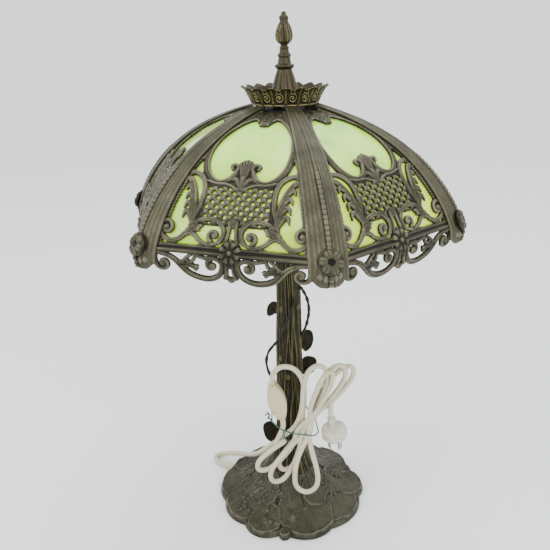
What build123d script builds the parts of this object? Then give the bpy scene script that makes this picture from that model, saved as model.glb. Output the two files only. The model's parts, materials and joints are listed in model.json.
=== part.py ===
from build123d import *
import os
from math import copysign, cos, pi, radians, sin, tan

# Table lamp with a six-sided slag glass shade on a cast tree-trunk stem.
# Millimetres, +Z up. The origin is on the table, under the centre of the stem.
# A flat side of the shade faces -Y. The cord hank is tied to the stem, a little to the right of that side.

os.makedirs("parts", exist_ok=True)

# ---- driving dimensions ----
TOTAL_HEIGHT = 620.0
SIDES = 6
SIDE_ANGLE = 360 / SIDES
SIDE_TAN = tan(radians(SIDE_ANGLE / 2))

# The shade's slope, in the vertical plane through the middle of a side: start, heading and arcs.
SLOPE_START = (31.5, 525.5)
SLOPE_HEADING = 14.0
SLOPE_ARCS = ((230.0, 16.0), (182.0, 40.0), (42.0, 34.0))
RIB_SPAN = (2.0, 215.0)
PANEL_SPAN = (12.0, 225.6)
GLASS_SPAN = (16.0, 187.0)
BAR_AT = 191.2
RIB_DEPTH = (0.0, 1.8)
PANEL_DEPTH = (1.9, 4.3)
GLASS_DEPTH = (4.4, 7.4)
CLIP_DEPTH = (7.5, 8.3)
RIB_TOP_WIDTH = 8.0
RIB_WIDENING = 0.1
PANEL_LAP = 6.0
GLASS_INSET = 5.0
SHADE_REACH = 260.0

# The crown, the finial and the rods on the axis.
CROWN_FOOT = (37.2, 525.4)
CROWN_RIM = (47.8, 545.7)
CROWN_WALL = 0.8
CROWN_LEAVES = 18
TOP_RING = (5.3, 38.0, 519.1, 521.8)
SEAT = (24.0, 515.6, 518.8)
ROD_R = 5.0
ROD_CLEARANCE = 0.05
ROD_TOP = 548.0
PIPE_BORE_R = 3.8
WASHER = (5.3, 12.0, 526.4, 527.4)
FINIAL_FOOT = 527.6

# The stem and the base.
STEM_PROFILE = ((31.0, 44.0), (21.0, 68.0), (18.2, 144.0), (16.3, 288.0), (15.6, 350.0))
STEM_BORE_R = 6.0
BASE_TOP = 44.0
BASE_WALL = 4.0
BASE_RISE = ((110.0, 6.5), (88.0, 8.5), (62.0, 18.0), (42.0, 30.0), (31.0, BASE_TOP))
RIM_BOTTOM = 1.5
FELT_INSET = 4.0
BOSS_R = 12.0
BASE_CORE_R = 60.0
VINE_BEND_R = 5.0
LEAF_THICK = 3.2
SMALL_LOBE_R = 10.0
# Each lobe of the base outline: heading in degrees, reach from the axis, and its own radius.
BASE_LOBES = (
    (-165, 99.5, 58), (-127, 99.5, 45), (-97, 103, 30), (-77, 100.5, 7), (-55, 101.5, 42), (-16, 100.5, 60),
    (19, 100.5, 34), (40, 92.5, 16), (64, 99, 42), (99, 98, 46), (137, 95.5, 46), (166, 96, 20),
)

# The lampholders and the bulbs.
HOLDER_X = 52.0
HOLDER_BOTTOM = 388.0
HOLDER_TOP = 425.0
HOLDER_R = 14.5
CAP_R = 11.0
CAP_CLEARANCE = 0.1
BULB_R = 22.5
BULB_CENTRE = 452.0
BULB_TURN = 24.0
ARM_Z = 380.0
ARM_R = 5.0

# The cord and what is on it.
CORD_D = 6.5
CORD_EXIT_HEADING = 173.0
CORD_EXIT_R = 98.0
CORD_EXIT_Z = 4.9
BUSH_R = 4.8
HANK_TURN = 19.6
SWITCH_TILT = 13.8
SWITCH_LENGTH = 50.0
SWITCH_WIDTH = 23.0
SWITCH_THICK = 14.0
ROCKER_PIVOT_Z = -4.6
ROCKER_PIVOT_R = 1.3
ROCKER_SLOT = (8.4, 15.6)
PLUG_R = 16.5
PLUG_DEPTH = 14.0
NECK_R = 5.2
NECK_LENGTH = 16.0
WIRE_D = 1.6


def facing(right, out, up):
    """A point given to the right, towards the viewer and up, as seen on the hank's flat side."""
    turn = radians(HANK_TURN)
    return (right * cos(turn) + out * sin(turn), right * sin(turn) - out * cos(turn), up)


def side_heading(index):
    """Heading of the middle of one of the shade's sides."""
    return -90 + SIDE_ANGLE * index


# ---- round solids ----
def disc(outer, inner, low, high):
    """A flat ring about the axis, or a full disc where inner is 0."""
    ring = Circle(outer) - Circle(inner) if inner else Circle(outer)
    return Pos(0, 0, low) * extrude(ring, amount=high - low)


def turned(*edges):
    """A solid of revolution about the axis from edges given as (radius, height) points."""
    return revolve(make_face(Plane.XZ * Curve(edges)), axis=Axis.Z)


def outline(points):
    """Straight edges through the (radius, height) points, in order."""
    return [Line(a, b) for a, b in zip(points, points[1:])]


def ring_of(points):
    """A solid of revolution with straight edges between the points."""
    return turned(*outline([*points, points[0]]))


# ---- the shade ----
def slope_point(along, depth=0.0):
    """Radius, height and heading on a side's middle line, at a distance down it and a depth under it."""
    x, z = SLOPE_START
    heading = radians(SLOPE_HEADING)
    for index, (radius, sweep_angle) in enumerate(SLOPE_ARCS):
        last = index == len(SLOPE_ARCS) - 1
        step = along if last else min(along, radius * radians(sweep_angle))
        ahead = heading + step / radius
        x += radius * (sin(ahead) - sin(heading))
        z -= radius * (cos(heading) - cos(ahead))
        heading = ahead
        along -= step
    return x - depth * sin(heading), z - depth * cos(heading), heading


def slope_arcs(start, end, depth):
    """The arcs of a side's middle line from start to end, at one depth."""
    joints = []
    total = 0
    for radius, sweep_angle in SLOPE_ARCS[:-1]:
        total += radius * radians(sweep_angle)
        joints.append(total)
    stations = [start, *[j for j in joints if start < j < end], end]
    arcs = []
    for a, b in zip(stations, stations[1:]):
        ends = [slope_point(s, depth)[:2] for s in (a, (a + b) / 2, b)]
        arcs.append(ThreePointArc(*ends))
    return arcs


def curved_sheet(span, depths, half_width):
    """A sheet that follows the slope, for the side whose middle is along +X."""
    top, under = depths
    edges = slope_arcs(*span, top) + slope_arcs(*span, under)
    for station in span:
        edges.append(Line(slope_point(station, top)[:2], slope_point(station, under)[:2]))
    return extrude(make_face(Plane.XZ * Curve(edges)), amount=half_width, both=True)


def rib_width(x):
    """Width of a rib's half on one side, at a distance from the axis."""
    return RIB_TOP_WIDTH + RIB_WIDENING * (x - SLOPE_START[0])


def plan_wedge(near, far):
    """The part of a side's sixth, seen from above, between two sideways bounds given as functions of x."""
    x0, x1 = 20.0, SHADE_REACH
    corners = [(x0, near(x0)), (x1, near(x1)), (x1, far(x1)), (x0, far(x0))]
    plan = make_face(Polyline(*corners, close=True))
    return extrude(plan, amount=TOTAL_HEIGHT)


def slope_plane(along):
    """The plane that touches a side's middle line: local X is sideways, local Y is up the slope."""
    x, z, heading = slope_point(along)
    return Plane(origin=(x, 0, z), x_dir=(0, 1, 0), z_dir=(sin(heading), 0, cos(heading)))


def cutter(along, sketch, depth=14.0):
    """Material to remove around a sketch on the slope plane."""
    return extrude(slope_plane(along) * sketch, amount=depth, both=True)


def mirrored(sketch):
    """A sketch and its mirror image across the middle line."""
    return sketch + mirror(sketch, Plane.YZ)


def heart_opening():
    """The large upper opening, with the palmette rising into its lower edge."""
    edges = (
        Line((-12, 42), (0, 30)), Line((0, 30), (12, 42)),
        ThreePointArc((12, 42), (38, -4), (28, -40)),
        ThreePointArc((28, -40), (14, -36), (0, -18)), ThreePointArc((0, -18), (-14, -36), (-28, -40)),
        ThreePointArc((-28, -40), (-38, -4), (-12, 42)),
    )
    return cutter(75.5, make_face(Curve(edges)))


def side_openings():
    """The tall openings beside the lattice, and the small triangles above them."""
    tall = make_face(Polyline((50, 27), (57, 22), (70, -24), (56, -32), (46, -14), (44, 8), close=True))
    triangle = make_face(Polyline((46, 56), (43, 42), (52, 41), close=True))
    return cutter(148.8, mirrored(tall + triangle))


def lattice_openings():
    """The round holes between the lattice bars."""
    pitch_x, pitch_y, hole_r = 10.5, 5.2, 2.6
    holes = []
    for row in range(7):
        count = (6, 5)[row % 2]
        for column in range(count):
            holes.append(Pos((column - (count - 1) / 2) * pitch_x, 18 - row * pitch_y) * Circle(hole_r))
    return cutter(143, Sketch() + holes)


def arch_openings():
    """The half-round openings inside the two scrolls above the bar."""
    arch = make_face(Curve([Line((10, -10), (36, -10)), ThreePointArc((36, -10), (23, 8), (10, -10))]))
    return cutter(169.9, mirrored(arch))


def skirt_openings():
    """The openings of the hanging skirt, and the hollows of its lower edge."""
    eye = Pos(22, -1) * SlotOverall(26, 14)
    volute = Pos(68, -1) * Circle(4)
    gap = Pos(50, 9) * SlotOverall(18, 5.2)
    edge = ((26, -20), (46, -11), (58, -3), (60, -8), (68, -11), (78, -8), (110, -8), (110, -20))
    below = make_face(Polyline(*edge, close=True))
    slot = Pos(0, -2) * Rectangle(4, 8)
    return cutter(209.6, mirrored(eye + volute + gap + below) + slot)


def filigree_panel():
    """One cast side of the shade, along +X."""
    sheet = curved_sheet(PANEL_SPAN, PANEL_DEPTH, SHADE_REACH / 2)
    width = lambda x: SIDE_TAN * x - rib_width(x) + PANEL_LAP
    panel = sheet & plan_wedge(lambda x: -width(x), width)
    for opening in (heart_opening(), side_openings(), lattice_openings(), arch_openings(), skirt_openings()):
        panel -= opening
    bar_depth = (PANEL_DEPTH[0] - 1.5, PANEL_DEPTH[0] + 0.5)
    bar = curved_sheet((BAR_AT - 3.5, BAR_AT + 3.5), bar_depth, SHADE_REACH / 2)
    clear_width = lambda x: SIDE_TAN * x - rib_width(x) - 0.5
    return panel + (bar & plan_wedge(lambda x: -clear_width(x), clear_width))


def rib():
    """One folded corner strip, along +X, with the flower boss near its foot and the screw hole through it."""
    sheet = curved_sheet(RIB_SPAN, RIB_DEPTH, SHADE_REACH / 2)
    strip = None
    for side in (1, -1):
        near = lambda x: side * (SIDE_TAN * x - rib_width(x))
        half = sheet & plan_wedge(near, lambda x: side * SIDE_TAN * x)
        half = Rot(0, 0, -side * SIDE_ANGLE / 2) * half
        strip = half if strip is None else strip + half
    boss = corner_place() * Pos(0, 0, -0.2) * Cylinder(11, 3.6)
    return (strip + boss) - corner_place() * Cylinder(2.05, 30)


def corner_place():
    """The place of the flower boss on the corner line, its axis out of the corner."""
    x, z, heading = slope_point(BAR_AT)
    return Pos(x / cos(radians(SIDE_ANGLE / 2)), 0, z) * Rot(0, 90, 0)


def rib_screw():
    """The screw through a rib's flower, its head outside, and its nut inside."""
    head = Pos(0, 0, 2.4) * Cylinder(3.6, 1.6)
    shank = Pos(0, 0, -2.2) * Cylinder(2.0, 7.6)
    nut = Pos(0, 0, -7.0) * Cylinder(3.6, 2.0)
    return corner_place() * (head + shank + nut)


def glass_pane():
    """One bent pane, along +X."""
    width = lambda x: SIDE_TAN * x - GLASS_INSET
    return curved_sheet(GLASS_SPAN, GLASS_DEPTH, SHADE_REACH / 2) & plan_wedge(lambda x: -width(x), width)


def glass_clips():
    """The small tabs behind the panes, four to a side."""
    clips = []
    for index in range(SIDES):
        for along in (60, 150):
            for side in (1, -1):
                x = slope_point(along)[0]
                depth = (CLIP_DEPTH[0] + CLIP_DEPTH[1]) / 2 + 0.15
                place = slope_plane(along) * Pos(side * (SIDE_TAN * x - 9.5), 0, -depth)
                tab = place * Box(8, 6, CLIP_DEPTH[1] - CLIP_DEPTH[0])
                clips.append(Rot(0, 0, side_heading(index)) * tab)
    return Compound(clips)


def crown():
    """The pressed cup with a rim of leaf tips."""
    (foot_r, foot_z), (rim_r, rim_z) = CROWN_FOOT, CROWN_RIM
    floor_z = foot_z + CROWN_WALL
    cup = ring_of((
        (TOP_RING[0], foot_z), (foot_r, foot_z), (rim_r, rim_z), (rim_r - CROWN_WALL, rim_z),
        (foot_r - CROWN_WALL, floor_z), (TOP_RING[0], floor_z),
    ))
    notch = Plane.YZ * make_face(Polyline((-4.2, rim_z + 1), (4.2, rim_z + 1), (0, rim_z - 5), close=True))
    notch = Pos(foot_r - 6, 0, 0) * extrude(notch, amount=24)
    return cup - [Rot(0, 0, 360 / CROWN_LEAVES * i) * notch for i in range(CROWN_LEAVES)]


def finial():
    """The turned and cast finial, with its threaded hole."""
    outer = (
        Line((ROD_R + ROD_CLEARANCE, FINIAL_FOOT), (16.4, FINIAL_FOOT)),
        Line((16.4, FINIAL_FOOT), (14.5, 541)),
        Line((14.5, 541), (8.2, 562)),
        Line((8.2, 562), (9.6, 563.2)),
        ThreePointArc((9.6, 563.2), (10.2, 565), (9.6, 566.8)),
        Line((9.6, 566.8), (7.6, 567.5)), Line((7.6, 567.5), (6.5, 573.8)),
        ThreePointArc((6.5, 573.8), (7.4, 576), (5.9, 578)), Line((5.9, 578), (4.7, 582)),
        ThreePointArc((4.7, 582), (5.4, 583.7), (4.2, 585.4)),
        ThreePointArc((4.2, 585.4), (9.1, 596.5), (5.2, 607.6)),
        ThreePointArc((5.2, 607.6), (4.6, 613), (2.2, TOTAL_HEIGHT - 1)),
        Line((2.2, TOTAL_HEIGHT - 1), (0, TOTAL_HEIGHT)),
        Line((0, TOTAL_HEIGHT), (0, ROD_TOP + 2)),
        Line((0, ROD_TOP + 2), (ROD_R + ROD_CLEARANCE, ROD_TOP + 2)),
        Line((ROD_R + ROD_CLEARANCE, ROD_TOP + 2), (ROD_R + ROD_CLEARANCE, FINIAL_FOOT)),
    )
    return turned(*outer)


# ---- the base and the stem ----
def base_plan(inset=0.0):
    """The lobed outline of the base, drawn in by inset."""
    plan = Circle(BASE_CORE_R)
    for heading, reach, lobe_r in BASE_LOBES:
        if lobe_r > SMALL_LOBE_R or not inset:
            plan += Rot(0, 0, heading) * Pos(reach - lobe_r, 0) * Circle(lobe_r - inset)
    return plan


def base_casting():
    """The hollow dome, with a boss for the pipe and a tunnel for the cord."""
    top = list(BASE_RISE)
    under = [(r, z - BASE_WALL) for r, z in top]
    dome = ring_of([*top, (STEM_BORE_R, BASE_TOP), (STEM_BORE_R, BASE_TOP - BASE_WALL), *reversed(under)])
    wall_plan = base_plan() - base_plan(BASE_WALL)
    rim = Pos(0, 0, RIM_BOTTOM) * extrude(wall_plan, amount=BASE_RISE[0][1] - RIM_BOTTOM)
    plan = Pos(0, 0, RIM_BOTTOM) * extrude(base_plan(), amount=BASE_TOP)
    casting = (dome & plan) + rim + disc(BOSS_R, ROD_R, BASE_TOP - 30, BASE_TOP - BASE_WALL)
    tunnel = exit_place() * Pos(0, 0, -14) * Cylinder(8.2, 22)
    tunnel &= disc(120, 0, RIM_BOTTOM, 20)
    hole = exit_place() * Pos(0, 0, -10) * Cylinder(BUSH_R, 40)
    return casting + tunnel - hole - disc(ROD_R, 0, 0, BASE_TOP)


def exit_place():
    """The cord's exit from the rim: local Z points out along the cord."""
    heading = radians(CORD_EXIT_HEADING)
    origin = (CORD_EXIT_R * cos(heading), CORD_EXIT_R * sin(heading), CORD_EXIT_Z)
    return Location(Plane(origin=origin, z_dir=(cos(heading), sin(heading), 0)))


def cord_bush():
    """The rubber bush in the rim, with a tapered sleeve outside."""
    sleeve = exit_place() * Pos(0, 0, -25) * extrude(Circle(BUSH_R - 0.05), amount=27)
    rings = [Pos(0, 0, 2) * Circle(BUSH_R - 0.05), Pos(0, 0, 22) * Circle(CORD_D / 2 + 0.5)]
    nose = exit_place() * loft(rings)
    return sleeve + nose - exit_place() * Pos(0, 0, -30) * extrude(Circle(CORD_D / 2), amount=60)


def trunk_stem():
    """The hollow trunk casting, flared at its root."""
    (root_r, root_z), shoulder, *upper = STEM_PROFILE
    halfway = ((root_r + shoulder[0]) / 2 - 2.6, (root_z + shoulder[1]) / 2 - 2)
    flare = ThreePointArc((root_r, root_z), halfway, shoulder)
    shaft = outline([shoulder, *upper, (STEM_BORE_R, upper[-1][1]), (STEM_BORE_R, root_z), (root_r, root_z)])
    return turned(flare, *shaft)


def rod(points, diameter, radius):
    """A thin rod along straight runs with one bend radius."""
    path = FilletPolyline(*points, radius=radius)
    return sweep(Plane(origin=path @ 0, z_dir=path % 0) * Circle(diameter / 2), path=path)


def vine_left():
    """The vine that crosses the front of the trunk and bows out on its left."""
    bends = (
        (7, 14.5, 300), (5, 18.5, 288), (-3, 18.5, 265), (-12, 16, 243), (-20, 11, 231),
        (-27, 6, 218), (-29.5, 4, 203), (-26, 4, 187), (-15, 8, 170),
    )
    return rod([facing(*bend) for bend in bends], 3.4, VINE_BEND_R)


def vine_right():
    """The vine that bows out on the trunk's right."""
    bends = (
        (12, 6, 312), (18, 4.5, 303), (23.5, 3, 290), (25.5, 2, 275),
        (23.5, 2.5, 260), (18.5, 4, 246), (12, 7, 238),
    )
    return rod([facing(*bend) for bend in bends], 3.6, VINE_BEND_R)


def leaf(right, out, up, long_r, short_r, lean):
    """One thick leaf, facing the viewer, its long axis leaning from upright."""
    frame = Plane(origin=facing(right, out, up), x_dir=facing(1, 0, 0), z_dir=facing(0, 1, 0))
    return extrude(frame * Rot(0, 0, lean) * Ellipse(short_r, long_r), amount=LEAF_THICK / 2, both=True)


def vine_leaves():
    """The leaves that stand out beside the trunk."""
    shapes = (
        (22.5, -3, 231, 16, 9, -4), (24.5, -5, 193, 15, 11, -16),
        (-20.5, -3, 276, 11, 6.5, -26), (-27, 3, 98, 17, 9.5, 8),
    )
    return Compound([leaf(*shape) for shape in shapes])


def leaf_stalks():
    """The short stalks between the trunk and its leaves."""
    ends = ((22.5, -3, 231, 14), (24.5, -5, 193, 14), (-20.5, -3, 276, -13), (-27, 3, 98, -16))
    stalks = []
    for right, out, up, inner in ends:
        outer = right - copysign(2, right)
        start, stop = Vector(*facing(inner, out, up - 5)), Vector(*facing(outer, out, up - 3))
        run = stop - start
        stalks.append(extrude(Plane(origin=start, z_dir=run) * Circle(1.3), amount=run.length))
    return Compound(stalks)


# ---- the rods, the lampholders and the bulbs ----
def threaded_pipe(low, high):
    """A length of the hollow rod on the axis."""
    return disc(ROD_R, PIPE_BORE_R, low, high)


def lamp_cluster():
    """The body that the arms and the riser rod screw into."""
    return disc(17, ROD_R, 372, 390) - Pos(0, 0, ARM_Z) * Rot(0, 90, 0) * Cylinder(ARM_R, 60)


def lamp_arm():
    """One side arm with its elbow, along +X."""
    start, corner, end = (ROD_R + 1.5, 0, ARM_Z), (HOLDER_X, 0, ARM_Z), (HOLDER_X, 0, HOLDER_BOTTOM + 3)
    path = FilletPolyline(start, corner, end, radius=9)
    return sweep(Plane(origin=path @ 0, z_dir=path % 0) * (Circle(ARM_R) - Circle(ARM_R - 1.2)), path=path)


def lampholder():
    """One bayonet holder at its arm's end, along +X, with the two bent slots for the cap's pins."""
    floor, inner = HOLDER_BOTTOM + 8, CAP_R + CAP_CLEARANCE
    shell = disc(HOLDER_R, inner, floor, HOLDER_TOP) + disc(HOLDER_R, ARM_R, HOLDER_BOTTOM, floor)
    skirt = disc(19, HOLDER_R, HOLDER_TOP - 14, HOLDER_TOP - 10)
    pin_z = HOLDER_TOP - 17
    slots = []
    for start in (90, 270):
        track = Plane.XZ * (Pos(CAP_R + 1, pin_z) * Rectangle(4, 3))
        slots.append(Rot(0, 0, start - 6) * revolve(track, axis=Axis.Z, revolution_arc=BULB_TURN + 12))
        way_in = Box(4, 3, HOLDER_TOP - pin_z + 4)
        slots.append(Rot(0, 0, start + BULB_TURN) * Pos(CAP_R + 1, 0, (pin_z + HOLDER_TOP) / 2 + 2) * way_in)
    return Pos(HOLDER_X, 0, 0) * (shell + skirt - slots)


def bulb_cap():
    """The metal cap with its two pins."""
    cap = disc(CAP_R, 0, HOLDER_TOP - 25, HOLDER_TOP + 3)
    pins = Pos(0, 0, HOLDER_TOP - 17) * Rot(90, 0, 0) * Cylinder(1.1, 2 * CAP_R + 3.6)
    return Pos(HOLDER_X, 0, 0) * (cap + pins)


def bulb_glass():
    """The round envelope with its neck."""
    neck_z = HOLDER_TOP + 3
    envelope = Pos(0, 0, BULB_CENTRE) * Sphere(BULB_R) + disc(CAP_R, 0, neck_z, BULB_CENTRE)
    return Pos(HOLDER_X, 0, 0) * (envelope - disc(40, 0, 0, neck_z))


# ---- the cord ----
def corner_radii(points):
    """The radius of each bend: as large as its two runs allow."""
    radii = []
    for a, b, c in zip(points, points[1:], points[2:]):
        run_in, run_out = Vector(*b) - Vector(*a), Vector(*c) - Vector(*b)
        half_turn = radians(run_in.get_angle(run_out)) / 2
        radii.append(0.45 * min(run_in.length, run_out.length) / tan(half_turn))
    return radii


def cord_tube(name, points):
    """A round cord along straight runs joined by tangent arcs."""
    radii = corner_radii(points)
    path = FilletPolyline(*points, radius=radii)
    tube = sweep(Plane(origin=path @ 0, z_dir=path % 0) * Circle(CORD_D / 2), path=path)
    expected = pi * CORD_D ** 2 / 4 * path.length
    print(name, "length", round(path.length, 1), "radii", [round(r, 1) for r in radii],
          "volume ratio", round(tube.volume / expected, 4))
    return tube


def exit_point(out):
    """A point on the cord's way out of the rim."""
    heading = radians(CORD_EXIT_HEADING)
    return ((CORD_EXIT_R + out) * cos(heading), (CORD_EXIT_R + out) * sin(heading), CORD_EXIT_Z)


TAIL_ROUTE = [
    exit_point(-8), exit_point(8), (-120, 16, 4.4), (-129, 24, 4.0), (-127, 33, 4.2),
    (-114, 37, 6.5), (-94, 33, 14), (-68, 20, 26), (-46, -8, 54), (-31, -34, 78),
]
SWITCH_CENTRE = facing(-17.0, 36.0, 166.0)


def switch_place():
    """The in-line switch: local Y along the cord, local Z towards the viewer."""
    frame = Plane(origin=SWITCH_CENTRE, x_dir=facing(1, 0, 0), z_dir=facing(0, 1, 0))
    return Location(frame) * Rot(0, 0, SWITCH_TILT)


def switch_point(along, out=0.0):
    """A point on the switch's long axis."""
    return tuple((switch_place() * Pos(0, along, out)).position)


LOWER_LEAD_ROUTE = [
    switch_point(-SWITCH_LENGTH / 2 + 1), switch_point(-SWITCH_LENGTH / 2 - 12),
    facing(-13, 37, 118), facing(-22, 40, 100),
]
UPPER_LEAD_ROUTE = [
    switch_point(SWITCH_LENGTH / 2 - 1), facing(-23.5, 36, 202), facing(-13, 36, 215),
    facing(3, 36, 214), facing(14, 36, 201), facing(18, 36, 184), facing(17.5, 36, 164),
]
PLUG_LEAD_ROUTE = [facing(52, 36, 166), facing(50.5, 36, 153), facing(52, 36, 140)]


def rounded_box_section(right, out, up, width, depth):
    """One level of the hank's outer shape."""
    frame = Plane(origin=facing(right, out, up), x_dir=facing(1, 0, 0), z_dir=(0, 0, 1))
    return frame * RectangleRounded(width, depth, min(width, depth) * 0.4)


def cord_hank():
    """The outer shape of the tied turns: wide below, narrow at the tie, fanned out to the right above."""
    levels = ((0, 58, 46, 50, 14), (-2, 53, 62, 78, 20), (-1, 48, 90, 70, 24), (17, 37, 124, 32, 20),
              (28, 36, 148, 50, 20), (48, 36, 186, 62, 20), (50, 36, 214, 40, 14))
    return loft([rounded_box_section(*level) for level in levels], ruled=True)


def switch_outline():
    """The pointed oval of the switch, with flat ends for the cord."""
    half_length, half_width, end = SWITCH_LENGTH / 2, SWITCH_WIDTH / 2, 4.4
    edges = (
        ThreePointArc((end, -half_length), (half_width, 0), (end, half_length)),
        Line((end, half_length), (-end, half_length)),
        ThreePointArc((-end, half_length), (-half_width, 0), (-end, -half_length)),
        Line((-end, -half_length), (end, -half_length)),
    )
    return make_face(Curve(edges))


def cord_groove():
    """The way of the cord through the switch's ends."""
    return Rot(90, 0, 0) * Cylinder(CORD_D / 2, SWITCH_LENGTH + 10)


def rocker_pivot(radius, length):
    """The rocker's pins, or their bearing, across the switch."""
    return Pos(0, 0, ROCKER_PIVOT_Z) * Rot(0, 90, 0) * Cylinder(radius, length)


def switch_shell(side):
    """One half of the switch: side 1 faces the viewer, side -1 faces the stem and holds the rocker."""
    half = SWITCH_THICK / 2
    shell = extrude(switch_outline(), amount=side * half)
    shell = fillet(shell.edges().group_by(Axis.Z)[-1 if side > 0 else 0], 2.5)
    hollow = extrude(offset(switch_outline(), -2.0), amount=side * (half - 2.0))
    shell -= hollow & Box(40, SWITCH_LENGTH - 16, 40)
    shell -= cord_groove()
    if side < 0:
        shell -= Pos(0, 0, -half) * Box(*ROCKER_SLOT, 8)
        shell -= rocker_pivot(ROCKER_PIVOT_R + 0.2, ROCKER_SLOT[0] + 3)
    return switch_place() * shell


def switch_rocker():
    """The rocker in the switch's back, lying on its off side, on two round pins."""
    half = SWITCH_THICK / 2
    raised, pressed = (-6.6, -half - 2.2), (6.6, -half - 0.2)
    arc = ThreePointArc(raised, (0, -half + 0.2), pressed)
    foot = Polyline(pressed, (4, -half + 3), (-4, -half + 3), raised)
    side_view = Plane.YZ * make_face(Curve([arc, *foot.edges()]))
    button = extrude(side_view, amount=ROCKER_SLOT[0] / 2 - 0.3, both=True)
    return switch_place() * (button + rocker_pivot(ROCKER_PIVOT_R, ROCKER_SLOT[0] + 2.2))


def plug_place():
    """The mains plug: local Z points out of its pin face, local Y towards its cord."""
    pins_way = Vector(*facing(0.10, -0.12, -0.99))
    cord_way = Vector(*facing(-0.25, 0.83, 0.50))
    return Location(Plane(origin=facing(56, 36, 119), x_dir=cord_way.cross(pins_way), z_dir=pins_way))


def plug_body():
    """The round back of the plug, ridged for the fingers, with the cord's grooved neck."""
    body = Cylinder(PLUG_R, PLUG_DEPTH)
    body = fillet(body.edges().group_by(Axis.Z)[0], 5)
    body = fillet(body.edges().group_by(Axis.Z)[-1], 1.5)
    body -= PolarLocations(PLUG_R + 0.5, 24) * Cylinder(1.0, PLUG_DEPTH)
    neck = Cylinder(NECK_R, NECK_LENGTH, align=(Align.CENTER, Align.CENTER, Align.MIN))
    for ring in range(3):
        neck -= Pos(0, 0, 5 + 4 * ring) * (Cylinder(NECK_R + 1, 1.4) - Cylinder(NECK_R - 0.9, 1.4))
    neck_place = Location(Plane(origin=facing(53.5, 36, 124), z_dir=facing(-0.1, 0, 1)))
    return plug_place() * body + neck_place * neck


def plug_pins():
    """Two slanted flat pins and one straight one."""
    z = PLUG_DEPTH / 2 + 8.5
    slanted = [Pos(side * 6.9, 5.0, z) * Rot(0, 0, side * 30) * Box(1.6, 6.3, 17) for side in (1, -1)]
    return plug_place() * Compound([*slanted, Pos(0, -8.5, z) * Box(1.6, 6.3, 17)])


def tie_wire():
    """The wire around the stem and the hank's waist, with its two ends twisted together."""
    loop = ((-24, 16, 136), (-24, 34, 134), (-14, 46, 131), (2, 51, 127), (29.5, 51, 123), (35.5, 40, 121),
            (33, 10, 121), (20, -18, 125), (-2, -24, 131), (-20, -14, 134), (-25, 6, 136))
    ends = (
        ((-24, 32, 134), (-28, 33, 138), (-27, 34, 144), (-30, 34, 149)),
        ((-24, 30, 134), (-30, 33, 139), (-26, 36, 144), (-29, 37, 148), (-33, 38, 146)),
        ((-10, 50, 130), (-8, 53, 122), (-3, 54, 116)),
    )
    return Compound([rod([facing(*stop) for stop in line], WIRE_D, 3) for line in (loop, *ends)])


def base_felt():
    """The felt under the rim, open round the boss and the cord."""
    sheet = extrude(base_plan(FELT_INSET), amount=RIM_BOTTOM)
    return sheet - disc(BOSS_R, 0, -1, 3) - exit_place() * Cylinder(7, 60)


def inner_lead():
    """The lead from the bush through the hollow base and up the pipe."""
    points = (exit_point(-26), (-60, 7, 6), (-22, 2.5, 5.5), (0, 0, 9), (0, 0, 364))
    path = FilletPolyline(*points, radius=[14, 14, 3.2])
    return sweep(Plane(origin=path @ 0, z_dir=path % 0) * Circle(2.6), path=path)


# ---- every node of the lamp ----
def build_nodes():
    """Every node's name and shape."""
    nodes = {
        "base_casting": base_casting(),
        "base_felt": base_felt(),
        "cord_bush": cord_bush(),
        "trunk_stem": trunk_stem(),
        "vine_left": vine_left(),
        "vine_right": vine_right(),
        "vine_leaves": vine_leaves(),
        "leaf_stalks": leaf_stalks(),
        "stem_cap": disc(17.5, ROD_R, 350, 356),
        "lamp_pipe": threaded_pipe(12, 366),
        "base_washer": disc(11, ROD_R, 12.5, 14),
        "inner_lead": inner_lead(),
        "lamp_cluster": lamp_cluster(),
        "riser_rod": threaded_pipe(376, ROD_TOP),
        "shade_seat": disc(SEAT[0], ROD_R, SEAT[1], SEAT[2]),
        "shade_top_ring": disc(TOP_RING[1], TOP_RING[0], TOP_RING[2], TOP_RING[3]),
        "crown": crown(),
        "glass_clips": glass_clips(),
        "finial_washer": disc(WASHER[1], WASHER[0], WASHER[2], WASHER[3]),
        "finial": finial(),
        "cord_tail": cord_tube("cord_tail", TAIL_ROUTE),
        "cord_hank": cord_hank(),
        "switch_lead_lower": cord_tube("switch_lead_lower", LOWER_LEAD_ROUTE),
        "switch_lead_upper": cord_tube("switch_lead_upper", UPPER_LEAD_ROUTE),
        "plug_lead": cord_tube("plug_lead", PLUG_LEAD_ROUTE),
        "switch_front": switch_shell(1),
        "switch_back": switch_shell(-1),
        "switch_rocker": switch_rocker(),
        "plug_body": plug_body(),
        "plug_pins": plug_pins(),
        "tie_wire": tie_wire(),
    }
    for name, turn in (("right", 0), ("left", 180)):
        nodes[f"lamp_arm_{name}"] = Rot(0, 0, turn) * lamp_arm()
        nodes[f"lampholder_{name}"] = Rot(0, 0, turn) * lampholder()
        nodes[f"bulb_cap_{name}"] = Rot(0, 0, turn) * bulb_cap()
        nodes[f"bulb_glass_{name}"] = Rot(0, 0, turn) * bulb_glass()
    panel, pane, strip, screw = filigree_panel(), glass_pane(), rib(), rib_screw()
    for index in range(SIDES):
        turn = Rot(0, 0, side_heading(index))
        nodes[f"panel_{index + 1}"] = turn * panel
        nodes[f"glass_{index + 1}"] = turn * pane
        nodes[f"rib_{index + 1}"] = Rot(0, 0, side_heading(index) + SIDE_ANGLE / 2) * strip
    corners = [side_heading(i) + SIDE_ANGLE / 2 for i in range(SIDES)]
    nodes["rib_screws"] = Compound([Rot(0, 0, corner) * screw for corner in corners])
    return nodes


for node, shape in build_nodes().items():
    export_step(shape, f"parts/{node}.step")
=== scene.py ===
import json
import math

import bpy
import numpy as np
from mathutils import Matrix, Vector


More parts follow.
